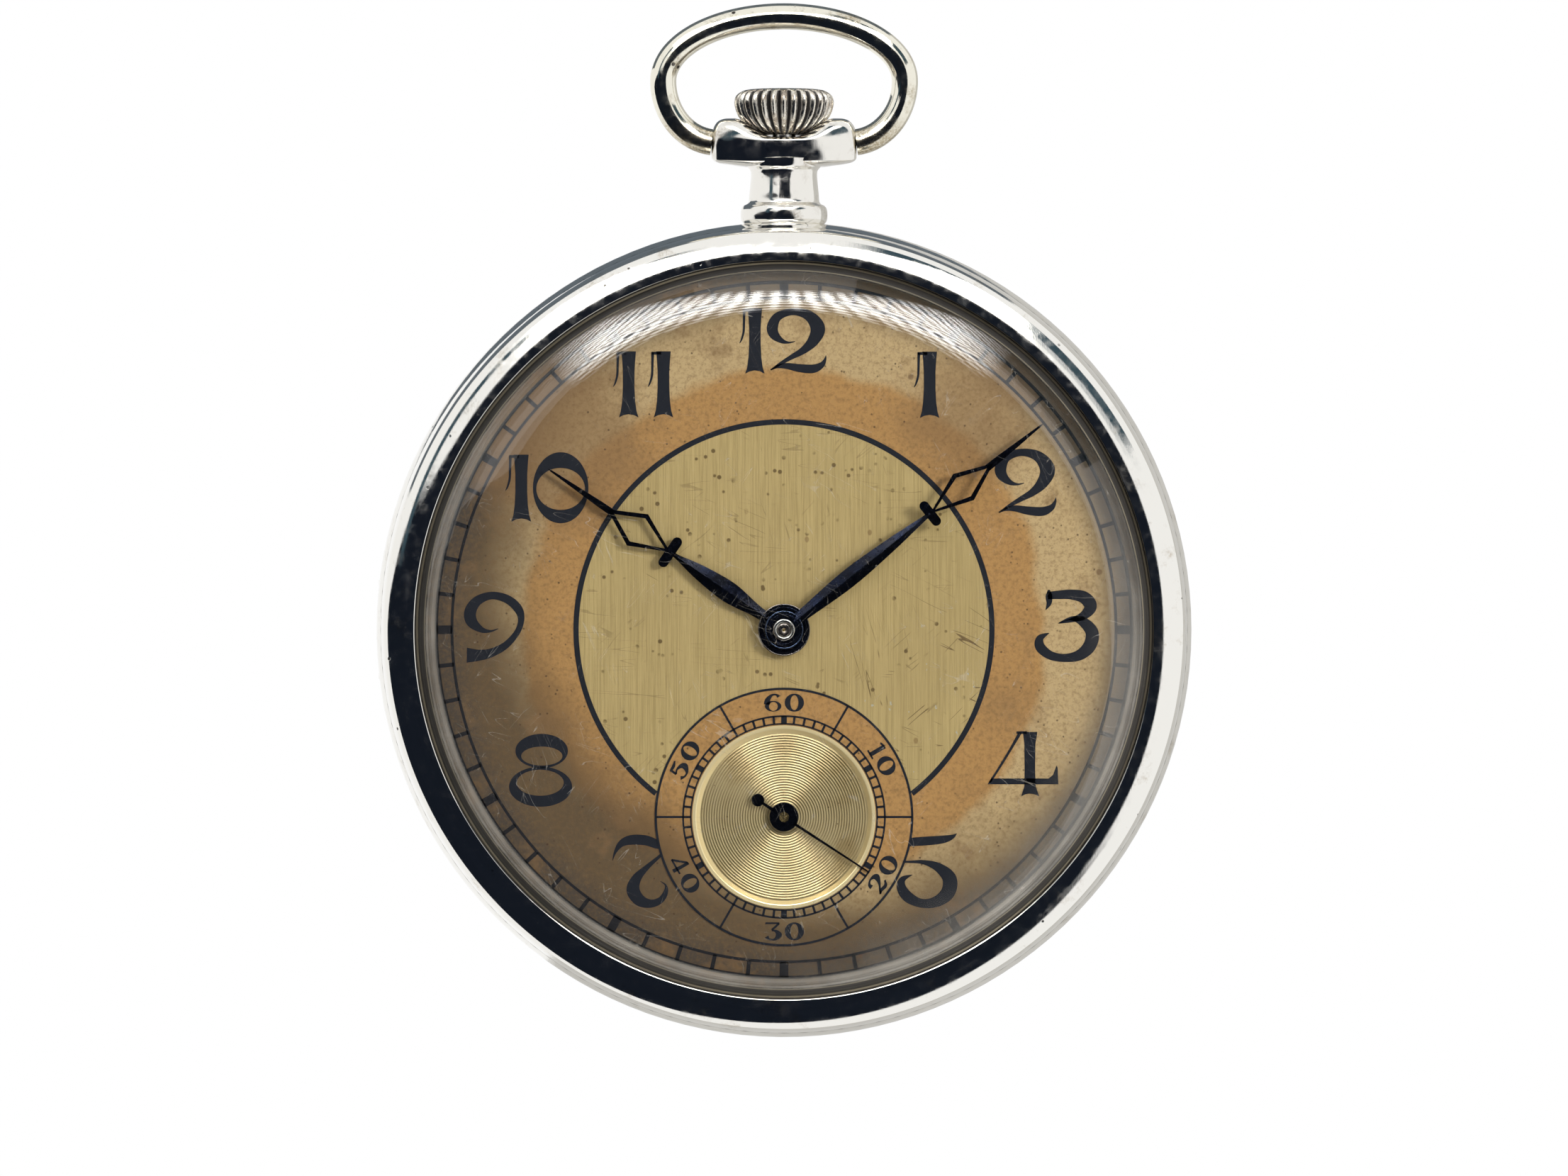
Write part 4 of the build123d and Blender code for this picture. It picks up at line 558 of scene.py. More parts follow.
# ---- case: bezel, crystal -----------------------------------------------------------------
rim = smooth_line([(24.19, -1.93), (24.12, -2.6), (24.05, -3.15), (23.97, -3.55), (23.9, -3.8),
                   (23.82, -3.94), (23.71, -4.07), (23.6, -4.16), (23.45, -4.255), (23.24, -4.35),
                   (23.0, -4.43), (22.73, -4.51), (22.5, -4.55), (22.27, -4.568), (22.12, -4.574)], 5)
bezel_section = rim + [(22.08, -4.55), (22.06, -4.5), (22.05, -4.13), (22.36, -4.11), (22.36, -3.55),
                       (22.07, -3.55), (22.07, -2.7), (22.11, -2.66), (23.1, -2.66), (23.15, -2.6),
                       (23.15, -1.9), (24.0, -1.9)]
bezel = lathe("bezel_polished", bezel_section, case_metal, "case", segments=384)
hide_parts("bezel")

dome = smooth_line([(0.0, -5.9), (6.0, -5.86), (12.0, -5.74), (16.5, -5.56), (18.6, -5.4), (20.0, -5.14),
                    (21.0, -4.8), (21.65, -4.42), (21.98, -4.1)], 6)
dome_inside = smooth_line([(22.3, -3.62), (21.5, -3.8), (20.9, -4.2), (20.0, -4.56), (18.4, -4.78),
                           (12.0, -5.0), (6.0, -5.04), (0.0, -5.06)], 6)
crystal = lathe("crystal_domed", dome + [(22.3, -4.07)] + dome_inside, crystal_glass, "case", segments=256,
                smooth=60)
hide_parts("crystal")

# ---- pendant, crown and bow ---------------------------------------------------------------
crown_low, crown_high = (v.z / MM - CENTRE_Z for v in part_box("crown"))
RIBS = 28


def upright(name, rows, material, body, segments, groove=None, smooth=60):
    """A body turned about the stem; rows are (radius, height). groove(radius, height, turn) gives the share
    of the radius that is left there, and how deep in a groove the spot lies, which the material darkens with
    painted shade and dirt."""
    points, depths = [], []
    for radius, height in rows:
        for k in range(segments):
            turn = 2 * pi * k / segments
            share, depth = groove(radius, height, turn) if groove else (1.0, 0.0)
            points.append((radius * share * sin(turn), -radius * share * cos(turn), height))
            depths.append(depth)
    piece = build(name, points, skin(len(rows), segments), material, body, smooth)
    if groove:
        layer = piece.data.attributes.new("groove", "FLOAT", "POINT")
        layer.data.foreach_set("value", depths)
    return piece


def rib(radius, height, turn):
    """Rounded ribs, parted by narrow grooves, deepest at the widest part of the crown."""
    level = (height - crown_low) / (crown_high - crown_low)
    wave = abs(cos(RIBS * turn / 2))
    cut = (1 - wave) ** 0.9
    depth = 0.13 * min(1.0, level / 0.15) * min(1.0, (1.0 - level) / 0.12 + 0.15)
    return 1 - depth * cut * (0.6 + 0.4 * (radius > 1.9)), cut * (1.0 if level < 0.93 else 0.4)


crown_rows = smooth_line([(1.3, 29.75), (1.62, 29.88), (2.1, 30.17), (2.45, 30.5), (2.78, 30.92),
                          (2.95, 31.4), (2.99, 31.78), (2.87, 32.12), (2.55, 32.36), (2.2, 32.46),
                          (1.5, 32.5), (0.5, crown_high)], 6)
crown = upright("crown_ribbed", crown_rows, crown_metal, "crown", RIBS * 14, rib)
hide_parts("crown")

neck_rows = smooth_line([(2.3, 24.0), (2.34, 24.3), (2.48, 24.44), (2.58, 24.62), (2.61, 24.95),
                         (2.57, 25.28), (2.44, 25.48), (2.24, 25.58), (2.13, 25.75), (2.09, 26.2),
                         (2.03, 26.8), (1.99, 27.3), (2.02, 27.6), (2.2, 27.85), (2.3, 28.3)], 6)
neck = upright("pendant_neck", neck_rows, worn_silver, "case", 96, smooth=50)
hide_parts("pendant")


def head_top(x):
    """Height of the head's upper side: two ears with a saddle between them for the crown."""
    spread = min(max(abs(x) - 0.7, 0.0) / 2.3, 1.0)
    fall = max(abs(x) - 3.4, 0.0)
    return 29.62 + 1.1 * spread ** 2 * (3 - 2 * spread) - 0.5 * fall ** 2


def head_bottom(x):
    return 27.74 + 0.022 * x * x


def pillow(name, half_width, half_depth, roll, flat, material, body):
    """Bulging cross piece of the pendant: upright front between the heights in flat, rounded above
    and below, swept along x and closed by rounded ends."""
    points = []
    steps, sides = 72, 64
    quarter = sides // 4
    middle = (flat[0] + flat[1]) / 2
    for k in range(steps + 1):
        x = -half_width * cos(pi * k / steps)
        end = min(1.0, max(0.0, (half_width - abs(x)) / 0.55))
        close = (1 - (1 - end) ** 2.6) ** (1 / 2.6)
        deep = (half_depth - (roll - (roll ** 2 - x ** 2) ** 0.5)) * (0.35 + 0.65 * close)
        for s in range(sides):
            turn = 2 * pi * (s % quarter) / sides
            side = s // quarter
            if side % 2:
                turn = pi / 2 - turn
            across = deep * (0.45 + 0.55 * cos(turn)) * (1 if side in (0, 3) else -1)
            if side in (0, 1):
                height = flat[1] + (head_top(x) - flat[1]) * sin(turn)
            else:
                height = flat[0] - (flat[0] - head_bottom(x)) * sin(turn)
            points.append((x, -across, middle + (height - middle) * (0.55 + 0.45 * close)))
    return build(name, points, skin(steps + 1, sides), material, body, 45)


head = pillow("pendant_head", 4.36, 2.05, 9.0, (28.22, 29.36), worn_silver, "case")

BOW_PIVOT = 29.3
BOW_WIDEST = 33.0
BOW_FOOT = 4.0
BOW_HALF = 7.27
BOW_RISE = 3.89
BOW_CUT = 4.27
wire = []
for side_sign, start, end in ((1, -90, 0), (0, 0, 180), (-1, 180, 270)):
    for k in range(60):
        turn = radians(start + (end - start) * k / 60)
        if side_sign:
            x = side_sign * BOW_FOOT + (BOW_HALF - BOW_FOOT) * cos(turn)
            z = BOW_WIDEST + (BOW_WIDEST - BOW_PIVOT) * sin(turn)
        else:
            x = BOW_HALF * cos(turn)
            z = BOW_WIDEST + BOW_RISE * sin(turn)
        wire.append((x, z))
wire.append((-BOW_FOOT, BOW_PIVOT))
wire = [(x, z) for x, z in wire if abs(x) > BOW_CUT or z > BOW_WIDEST]


def tube(name, line, radius, material, body, sides=40):
    """A round wire along (x, z) points in the plane of the dial, closed at both ends."""
    points = []
    for k, (x, z) in enumerate(line):
        before, after = line[max(k - 1, 0)], line[min(k + 1, len(line) - 1)]
        dx, dz = after[0] - before[0], after[1] - before[1]
        size = hypot(dx, dz)
        for s in range(sides):
            turn = 2 * pi * s / sides
            out = radius * cos(turn)
            points.append((x - dz / size * out, radius * sin(turn), z + dx / size * out))
    return build(name, points, skin(len(line), sides), material, body, 40)


bow = tube("bow_wire", wire, 0.79, bow_metal, "bow")
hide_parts("bow")

# ---- dial ---------------------------------------------------------------------------------
INK_FRONT = DIAL_FACE - PRINT
INK_BACK = DIAL_FACE + 0.02
SUB = (0.0, SUB_Z)

disc = Slab()
outline = []
for k in range(181):
    x, z = polar(DISC_RADIUS, k * 2.0)
    if hypot(x, z - SUB_Z) > RING_RADIUS:
        outline.append((x, z))
right_side = [p for p in outline if p[0] >= 0]
left_side = [p for p in outline if p[0] < 0]
meet = right_side[-1]
notch_start = degrees(atan2(meet[0], meet[1] - SUB_Z))
notch = [polar(RING_RADIUS - 0.05, notch_start - 2 * notch_start * k / 60, SUB) for k in range(61)]
disc.plate(right_side + notch + left_side, DIAL_FACE - 0.008, DIAL_FACE + 0.05)
disc.piece("gold_centre", gold, "case")

ring = Slab()
ring.ring(RING_RADIUS, SUNK_RADIUS + 0.12, DIAL_FACE - 0.03, INK_BACK, SUB)
ring.piece("seconds_ring", tan, "case")

prints = Slab()
gap = degrees(atan2(meet[0], -meet[1]))
prints.ring(DISC_RADIUS + 0.2, DISC_RADIUS - 0.12, INK_FRONT, DIAL_FACE + 0.03, (0, 0), gap - 180, 180 - gap)

# Railway track: two circles, a tick each minute and a block each five minutes.
TRACK_OUTSIDE = 20.9
TRACK_INSIDE = 19.78
TICK = 0.24
BLOCK = 0.52
track = Slab()
track.ring(TRACK_OUTSIDE, TRACK_OUTSIDE - 0.2, INK_FRONT, INK_BACK)
track.ring(TRACK_INSIDE + 0.17, TRACK_INSIDE, INK_FRONT, INK_BACK)
for minute in range(60):
    width = TICK if minute % 5 else BLOCK
    track.bar(TRACK_INSIDE + 0.08, TRACK_OUTSIDE - 0.1, 6 * minute, width, INK_FRONT, INK_BACK)
track.piece("minute_track", track_ink, "case")

STEM = [(-0.11, 1.0), (0.11, 1.0), (0.098, 0.86), (0.088, 0.7), (0.088, 0.45), (0.098, 0.25), (0.118, 0.1),
        (0.148, 0.0), (0.08, 0.036), (0.0, 0.05), (-0.08, 0.036), (-0.148, 0.0), (-0.118, 0.1),
        (-0.098, 0.25), (-0.088, 0.45), (-0.088, 0.7), (-0.098, 0.86)]


def stem(x):
    return ("plate", [(x + a, b) for a, b in STEM])


# Each glyph stands on z = 0 and is 1 high: pen strokes (x, z, half width), ovals and plates.
HOURS = {
    "1": [
        stem(0.235),
        ("stroke", [(0.055, 0.972, 0.022), (0.12, 0.972, 0.022), (0.2, 0.972, 0.022)]),
        ("stroke", [(0.072, 0.985, 0.022), (0.068, 0.8, 0.018), (0.062, 0.64, 0.017),
            (0.03, 0.52, 0.013), (0.0, 0.465, 0.004)]),
    ],
    "2": [
        ("stroke", [(0.43, 0.493, 0.006), (0.33, 0.475, 0.016), (0.22, 0.505, 0.04), (0.11, 0.6, 0.075),
            (0.085, 0.72, 0.085), (0.17, 0.875, 0.066), (0.4, 0.947, 0.054), (0.64, 0.885, 0.08),
            (0.775, 0.7, 0.112), (0.71, 0.51, 0.088), (0.56, 0.36, 0.056), (0.36, 0.245, 0.036),
            (0.2, 0.15, 0.024), (0.06, 0.055, 0.008)]),
        ("stroke", [(0.055, 0.058, 0.008), (0.16, 0.107, 0.026), (0.3, 0.118, 0.046),
            (0.5, 0.085, 0.062), (0.7, 0.075, 0.066), (0.83, 0.13, 0.046), (0.885, 0.21, 0.022),
            (0.9, 0.28, 0.003)]),
    ],
    "3": [
        ("stroke", [(0.155, 0.71, 0.004), (0.2, 0.8, 0.035), (0.2, 0.9, 0.045), (0.2, 0.985, 0.012)]),
        ("stroke", [(0.18, 0.905, 0.05), (0.32, 0.915, 0.058), (0.5, 0.92, 0.068), (0.68, 0.88, 0.085),
            (0.77, 0.76, 0.088), (0.68, 0.635, 0.06), (0.5, 0.565, 0.028), (0.33, 0.525, 0.006)]),
        ("stroke", [(0.33, 0.525, 0.006), (0.5, 0.59, 0.026), (0.66, 0.55, 0.066), (0.79, 0.4, 0.09),
            (0.76, 0.22, 0.09), (0.62, 0.09, 0.074), (0.42, 0.05, 0.056), (0.22, 0.085, 0.06),
            (0.08, 0.2, 0.068), (0.08, 0.32, 0.05), (0.2, 0.39, 0.005)]),
    ],
    "4": [
        ("plate", [(0.54, 0.985), (0.76, 0.985), (0.73, 0.8), (0.725, 0.4), (0.735, 0.15), (0.79, 0.0),
            (0.72, 0.03), (0.64, 0.045), (0.57, 0.03), (0.51, 0.0), (0.56, 0.15), (0.565, 0.4),
            (0.56, 0.8)]),
        ("stroke", [(0.44, 0.975, 0.018), (0.52, 0.975, 0.02), (0.6, 0.975, 0.022)]),
        ("stroke", [(0.5, 0.98, 0.026), (0.35, 0.72, 0.02), (0.18, 0.44, 0.018), (0.03, 0.21, 0.016)]),
        ("plate", [(0.0, 0.185), (0.055, 0.275), (0.93, 0.275), (1.0, 0.33), (1.05, 0.47), (1.07, 0.44),
            (1.08, 0.185)]),
    ],
    "5": [
        ("stroke", [(0.0, 0.87, 0.05), (0.2, 0.885, 0.058), (0.42, 0.9, 0.06), (0.62, 0.92, 0.052),
            (0.74, 0.955, 0.03), (0.8, 1.0, 0.002)]),
        ("stroke", [(0.0, 0.62, 0.014), (0.15, 0.615, 0.016), (0.35, 0.61, 0.03), (0.55, 0.54, 0.062),
            (0.7, 0.39, 0.096), (0.68, 0.2, 0.096), (0.52, 0.075, 0.074), (0.32, 0.055, 0.06),
            (0.14, 0.14, 0.074), (0.05, 0.27, 0.064), (0.07, 0.38, 0.04), (0.2, 0.44, 0.003)]),
    ],
    "7": [
        ("stroke", [(0.0, 0.64, 0.003), (0.04, 0.76, 0.02), (0.12, 0.87, 0.045), (0.25, 0.92, 0.066),
            (0.45, 0.915, 0.068), (0.62, 0.86, 0.06), (0.78, 0.86, 0.05)]),
        ("stroke", [(0.76, 0.8, 0.02), (0.62, 0.68, 0.022), (0.46, 0.54, 0.036), (0.33, 0.4, 0.064),
            (0.28, 0.24, 0.09), (0.37, 0.1, 0.08), (0.52, 0.055, 0.056), (0.65, 0.1, 0.044),
            (0.72, 0.2, 0.034), (0.725, 0.3, 0.014), (0.65, 0.36, 0.003)]),
    ],
    "8": [
        ("oval", (0.445, 0.765, 0.36, 0.235), (0.447, 0.695, 0.282, 0.13)),
        ("oval", (0.43, 0.275, 0.432, 0.275), (0.425, 0.33, 0.322, 0.178)),
    ],
    "9": [
        ("stroke", [(0.475, 0.475, 0.005), (0.36, 0.44, 0.018), (0.23, 0.465, 0.044), (0.1, 0.575, 0.08),
            (0.08, 0.72, 0.084), (0.18, 0.87, 0.068), (0.38, 0.945, 0.054), (0.6, 0.895, 0.06),
            (0.755, 0.76, 0.062), (0.8, 0.6, 0.045), (0.74, 0.42, 0.042), (0.58, 0.24, 0.05),
            (0.38, 0.135, 0.062), (0.2, 0.1, 0.08), (0.03, 0.1, 0.106)]),
    ],
    "0": [
        ("oval", (0.39, 0.5, 0.39, 0.5), (0.39, 0.483, 0.342, 0.295)),
    ],
}

# Glyph, its left edge, its foot and its height in millimetres.
HOUR_LAYOUT = [
    ("1", -2.66, 15.32, 3.92), ("2", -1.02, 15.32, 3.92), ("1", 7.78, 12.66, 3.98), ("2", 12.62, 6.78, 4.05),
    ("3", 14.98, -1.9, 4.36), ("4", 12.18, -9.97, 3.92), ("5", 6.8, -16.6, 4.42), ("7", -10.26, -16.62, 4.4),
    ("8", -16.44, -10.59, 4.37), ("9", -19.1, -1.94, 4.22), ("1", -16.66, 6.46, 4.02),
    ("0", -15.02, 6.37, 4.26), ("1", -10.22, 12.7, 3.96), ("1", -8.14, 12.7, 3.96),
]

SECONDS_GLYPHS = {
    "0": [
        ("oval", (0.38, 0.5, 0.4, 0.51), (0.38, 0.5, 0.165, 0.42)),
    ],
    "1": [
        ("plate", [(0.12, 0.02), (0.3, 0.02), (0.3, 0.98), (0.12, 0.94)]),
        ("stroke", [(0.0, 0.025, 0.026), (0.2, 0.025, 0.026), (0.42, 0.025, 0.026)]),
        ("stroke", [(0.0, 0.84, 0.012), (0.1, 0.9, 0.03), (0.22, 0.97, 0.03)]),
    ],
    "2": [
        ("stroke", [(0.1, 0.68, 0.07), (0.14, 0.86, 0.05), (0.32, 0.96, 0.034), (0.52, 0.88, 0.075),
            (0.57, 0.7, 0.095), (0.42, 0.44, 0.05), (0.2, 0.22, 0.03), (0.05, 0.06, 0.02)]),
        ("stroke", [(0.05, 0.08, 0.03), (0.22, 0.13, 0.06), (0.45, 0.06, 0.07), (0.64, 0.24, 0.01)]),
    ],
    "3": [
        ("stroke", [(0.04, 0.96, 0.03), (0.3, 0.96, 0.035), (0.62, 0.96, 0.035)]),
        ("stroke", [(0.6, 0.95, 0.02), (0.45, 0.75, 0.022), (0.3, 0.58, 0.02)]),
        ("stroke", [(0.3, 0.56, 0.02), (0.5, 0.5, 0.06), (0.6, 0.28, 0.095), (0.44, 0.05, 0.05),
            (0.22, 0.05, 0.035), (0.08, 0.2, 0.075)]),
    ],
    "4": [
        ("plate", [(0.38, 0.0), (0.54, 0.0), (0.54, 1.0), (0.42, 0.98)]),
        ("stroke", [(0.46, 0.97, 0.03), (0.25, 0.62, 0.022), (0.03, 0.27, 0.022)]),
        ("stroke", [(0.0, 0.26, 0.03), (0.35, 0.26, 0.03), (0.7, 0.26, 0.03)]),
    ],
    "5": [
        ("stroke", [(0.14, 0.9, 0.05), (0.34, 0.88, 0.065), (0.56, 0.97, 0.02)]),
        ("stroke", [(0.14, 0.94, 0.024), (0.13, 0.72, 0.022), (0.11, 0.52, 0.02)]),
        ("stroke", [(0.11, 0.53, 0.015), (0.3, 0.62, 0.04), (0.53, 0.5, 0.08), (0.57, 0.28, 0.095),
            (0.4, 0.05, 0.05), (0.2, 0.05, 0.035), (0.06, 0.2, 0.07)]),
    ],
    "6": [
        ("stroke", [(0.6, 0.83, 0.07), (0.48, 0.95, 0.035), (0.3, 0.92, 0.045), (0.14, 0.68, 0.08),
            (0.1, 0.4, 0.095)]),
        ("oval", (0.36, 0.3, 0.34, 0.3), (0.37, 0.29, 0.18, 0.25)),
    ],
}


def draw(slab, shapes, place, front=INK_FRONT, back=INK_BACK, thinnest=0.002, bold=1.0):
    """Adds a glyph to a slab; place moves its points on to the dial."""
    for kind, *what in shapes:
        if kind == "stroke":
            slab.stroke(what[0], front, back, place, thinnest, bold)
        elif kind == "oval":
            slab.oval(what[0], what[1], front, back, place)
        else:
            slab.plate([place(x, z) for x, z in what[0]], front, back)


for glyph, left, foot, height in HOUR_LAYOUT:
    draw(prints, HOURS[glyph], lambda x, z, a=left, b=foot, c=height: (a + x * c, b + z * c))
prints.piece("dial_print", black_ink, "case")

small = Slab()
RING_INK = DIAL_FACE - 0.042
RING_BACK = DIAL_FACE - 0.02
small.ring(RING_RADIUS + 0.07, RING_RADIUS - 0.07, RING_INK, INK_BACK, SUB)
small.ring(6.09, 5.98, RING_INK, RING_BACK, SUB)
small.ring(5.62, 5.53, RING_INK, RING_BACK, SUB)
for second in range(60):
    width = 0.34 if second % 10 == 0 else 0.14
    small.bar(5.57, 6.04, 6 * second, width, RING_INK, RING_BACK, SUB)
for angle in (30, 90, 150, 210, 270, 330):
    small.bar(6.02, RING_RADIUS, angle, 0.13, RING_INK, RING_BACK, SUB)
DIGIT_HEIGHT = 1.06
DIGIT_WIDTH = 1.36           # how much wider than drawn
for tens in range(1, 7):
    word = f"{10 * tens}"
    upside_down = 2 <= tens <= 4
    middle = polar(6.84, 60 * tens, SUB)
    turn = radians(60 * tens + (180 if upside_down else 0))
    advance = 0.56 if word[0] == "1" else 0.86
    width = advance + 0.76
    for offset, glyph in ((0.0, word[0]), (advance, "0")):

        def place(x, z, shift=offset - width / 2, turn=turn, middle=middle):
            u, v = (x + shift) * DIGIT_HEIGHT * DIGIT_WIDTH, (z - 0.5) * DIGIT_HEIGHT
            return middle[0] + u * cos(turn) + v * sin(turn), middle[1] - u * sin(turn) + v * cos(turn)

        draw(small, SECONDS_GLYPHS[glyph], place, RING_INK, RING_BACK, 0.05, 1.35)
small.piece("seconds_print", black_ink, "case")

# Sunk floor: a bevelled rim and real turned grooves.
floor_line = [(SUNK_RADIUS + 0.2, DIAL_FACE - 0.034), (SUNK_RADIUS + 0.02, DIAL_FACE - 0.034),
              (SUNK_RADIUS - 0.03, DIAL_FACE - 0.02), (SUNK_RADIUS - 0.22, SUNK_FACE - 0.04),
              (SUNK_RADIUS - 0.26, SUNK_FACE)]
for k in range(GROOVES):
    outside = SUNK_RADIUS - 0.3 - k * GROOVE_PITCH
    floor_line += [(outside, SUNK_FACE - 0.002),
                   (outside - GROOVE_PITCH / 2, SUNK_FACE - 0.002 - GROOVE_DEPTH)]
floor_line += [(0.46, SUNK_FACE), (0.46, SUNK_FACE + 0.15), (SUNK_RADIUS + 0.2, SUNK_FACE + 0.15)]
sunk = lathe("seconds_floor", floor_line, turned_gold, "case", SUB, 192, 8)
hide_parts("sub_dial")

# ---- hands --------------------------------------------------------------------------------
def hand(name, body, length, hub, leaf, bar, kite, front, angle, node):
    """Blued hand: a frame of hub, cross bar, open kite and needle, and a ridged leaf.

    leaf is (distance, half width), bar (distance, half length, half thickness), kite
    (widest place, half width, end)."""
    def place(x, z):
        u, v = polar(x, angle)
        return u + z * cos(radians(angle)), v - z * sin(radians(angle))

    slab = Slab()
    back = front + 0.16
    line = 0.2
    corner = [(bar[0], 0.0), (kite[0], kite[1]), (kite[2], 0.0), (kite[0], -kite[1])]
    inner = [(bar[0] + 1.9 * line, 0.0), (kite[0], kite[1] - 1.5 * line), (kite[2] - 2.6 * line, 0.0),
             (kite[0], -kite[1] + 1.5 * line)]
    slab.strip([place(*p) for p in corner], [place(*p) for p in inner], front, back, True)
    needle = ((kite[2] - 0.5, 0.21), (kite[2] + 0.5, 0.2), (length - 0.25, 0.06), (length, 0.01))
    slab.strip([place(x, z) for x, z in needle], [place(x, -z) for x, z in needle], front, back)
    ends = []
    for sign in (1, -1):
        for t in range(90, -91, -15):
            ends.append((bar[0] + bar[2] * sin(sign * radians(t)),
                         sign * (bar[1] - bar[2]) + bar[2] * cos(radians(t)) * sign))
    slab.plate([place(*p) for p in ends], front - 0.02, back + 0.02)
    slab.strip(circle(hub), circle(0.62), front, back, True)
    piece = slab.piece(name + "_frame", hand_steel, body)
    soft_edges(piece, 0.035)
    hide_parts(node)

    widths = smooth_line([(hub - 0.35, 0.33), (hub + 0.6, 0.38), (leaf[0], leaf[1]),
                          ((leaf[0] + bar[0]) / 2, leaf[1] * 0.72), (bar[0] - 0.5, 0.15), (bar[0], 0.17)], 6)
    points = []
    for x, half in widths:
        for z, depth in ((half, front + 0.05), (0.0, front - 0.05), (-half, front + 0.05), (-half, back),
                         (half, back)):
            u, v = place(x, z)
            points.append((u, depth, v))
    blade = build(name + "_leaf", points, skin(len(widths), 5), hand_steel, body)


hand("hour", "hour_wheel", 17.1, 1.53, (4.0, 0.63), (8.23, 1.02, 0.3), (10.6, 1.13, 12.8),
     HOUR_FACE, HOUR_ANGLE, "hour_hand")
hand("minute", "centre_wheel", 19.8, 1.14, (4.9, 0.55), (11.16, 0.86, 0.29), (13.7, 1.0, 16.0),
     MINUTE_FACE, MINUTE_ANGLE, "minute_hand")


def turned_ring(name, outer, inner, front, back, material, body, about=(0.0, 0.0)):
    """Small turned collar with rounded edges."""
    edge = min(0.06, (outer - inner) / 3, (back - front) / 3)
    section = [(inner, back), (outer, back), (outer, front + edge), (outer - edge * 0.3, front + edge * 0.3),
               (outer - edge, front), (inner + edge, front), (inner + edge * 0.3, front + edge * 0.3),
               (inner, front + edge)]
    return lathe(name, section, material, body, about, 96, 50)


HUB_RINGS = [    # name, outer and inner radius, front and back, finish, body, slot
    ("hour_boss", 1.4, 1.22, HOUR_FACE - 0.05, HOUR_FACE + 0.1, hand_steel, "hour_wheel", "hand_steel"),
    ("minute_boss", 0.98, 0.8, MINUTE_FACE - 0.04, MINUTE_FACE + 0.1, hand_steel, "centre_wheel",
     "hand_steel"),
    ("hour_hub_edge", 1.56, 1.47, HOUR_FACE - 0.03, HOUR_FACE + 0.12, worn_edge, "hour_wheel", "hand_steel"),
    ("minute_hub_edge", 1.15, 1.06, MINUTE_FACE - 0.03, MINUTE_FACE + 0.12, blue_edge, "centre_wheel",
     "hand_steel"),
    ("arbor_end", 0.41, 0.08, MINUTE_FACE - 0.06, MINUTE_FACE + 0.1, worn_edge, "centre_wheel", "steel"),
    ("cannon_ring", 0.66, 0.44, MINUTE_FACE - 0.14, MINUTE_FACE + 0.05, steel, "centre_wheel", "steel"),
]
for name, outer, inner, front, back, finish, body, slot in HUB_RINGS:
    turned_ring(name, outer, inner, front, back, finish, body)


def spoke(points, angle, sign):
    """One side of a bar that leaves the small seconds' axis; points are (distance, half width)."""
    turn = radians(angle)
    return [(x * sin(turn) + sign * z * cos(turn), SUB_Z + x * cos(turn) - sign * z * sin(turn))
            for x, z in points]


small_hand = Slab()
front, back = SECONDS_FACE, SECONDS_FACE + 0.1
small_hand.strip(circle(0.86, SUB), circle(0.3, SUB), front, back, True)
TIP = [(0.7, 0.085), (3.0, 0.07), (5.9, 0.045), (6.12, 0.01)]
TAIL = [(0.7, 0.1), (1.7, 0.08)]
for bar, angle in ((TIP, SECONDS_ANGLE), (TAIL, SECONDS_ANGLE + 180)):
    small_hand.strip(spoke(bar, angle, 1), spoke(bar, angle, -1), front, back)
ball = polar(1.86, SECONDS_ANGLE + 180, SUB)
small_hand.plate(circle(0.38, ball, 36), front, back)
small_hand_piece = small_hand.piece("seconds_pointer", hand_steel, "fourth_wheel")
soft_edges(small_hand_piece, 0.025)
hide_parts("seconds_hand")
pivot = turned_ring("seconds_pivot", 0.22, 0.12, SECONDS_FACE - 0.03, SECONDS_FACE + 0.08, brass,
                    "fourth_wheel", SUB)

# ---- finishes of the CAD nodes ------------------------------------------------------------
FINISHES = {
    "case_metal": case_metal,
    "bow_metal": bow_metal,
    "crown_metal": crown_metal,
    "crystal": crystal_glass,
    "dial": tan,
    "hand_steel": hand_steel,
    "plate_metal": bridge_nickel,
    "steel": steel,
    "blue_steel": screw_steel,
    "brass": brass,
    "ruby": red,
}
for subpart in frame["record"]["subparts"]:
    node = frame["nodes"].get(subpart["node"] if "node" in subpart else subpart["name"])
    if node is None:
        continue
    finish = plate_nickel if node.name == "mainplate" else FINISHES[subpart["material_slot"]]
    node.data.materials.clear()
    node.data.materials.append(finish)

# ---- stage, lights and camera -------------------------------------------------------------
def stage_mesh(name, points, faces, material, camera=True, diffuse=True):
    mesh = bpy.data.meshes.new(name)
    mesh.from_pydata(points, [], faces)
    made = add(name, mesh)
    mesh.materials.append(material)
    made.visible_camera = camera
    made.visible_diffuse = diffuse
    made.visible_shadow = camera
    return made


def plain(name, colour, shine):
    """Matt, nearly even floor with a little light of its own."""
    r = Recipe(name)
    tone = r.blend(r.ramp(r.noise(0.02, 2), 0.4, 0.6, 0.0, 0.04), colour, (0.9, 0.9, 0.9))
    return r.finish(r.principled(base_color=tone, roughness=0.9, emission_color=(1, 1, 1),
                                 emission_strength=shine))


FLOOR_Z = -0.1
FLOOR_RADIUS = 0.38
floor_turns = [2 * pi * k / 96 for k in range(96)]
floor_points = [(FLOOR_RADIUS * cos(turn), FLOOR_RADIUS * sin(turn), FLOOR_Z) for turn in floor_turns]
floor = stage_mesh("floor", floor_points, [tuple(range(96))], plain("floor_look", (0.86, 0.86, 0.85), 0.12))
floor.visible_glossy = False


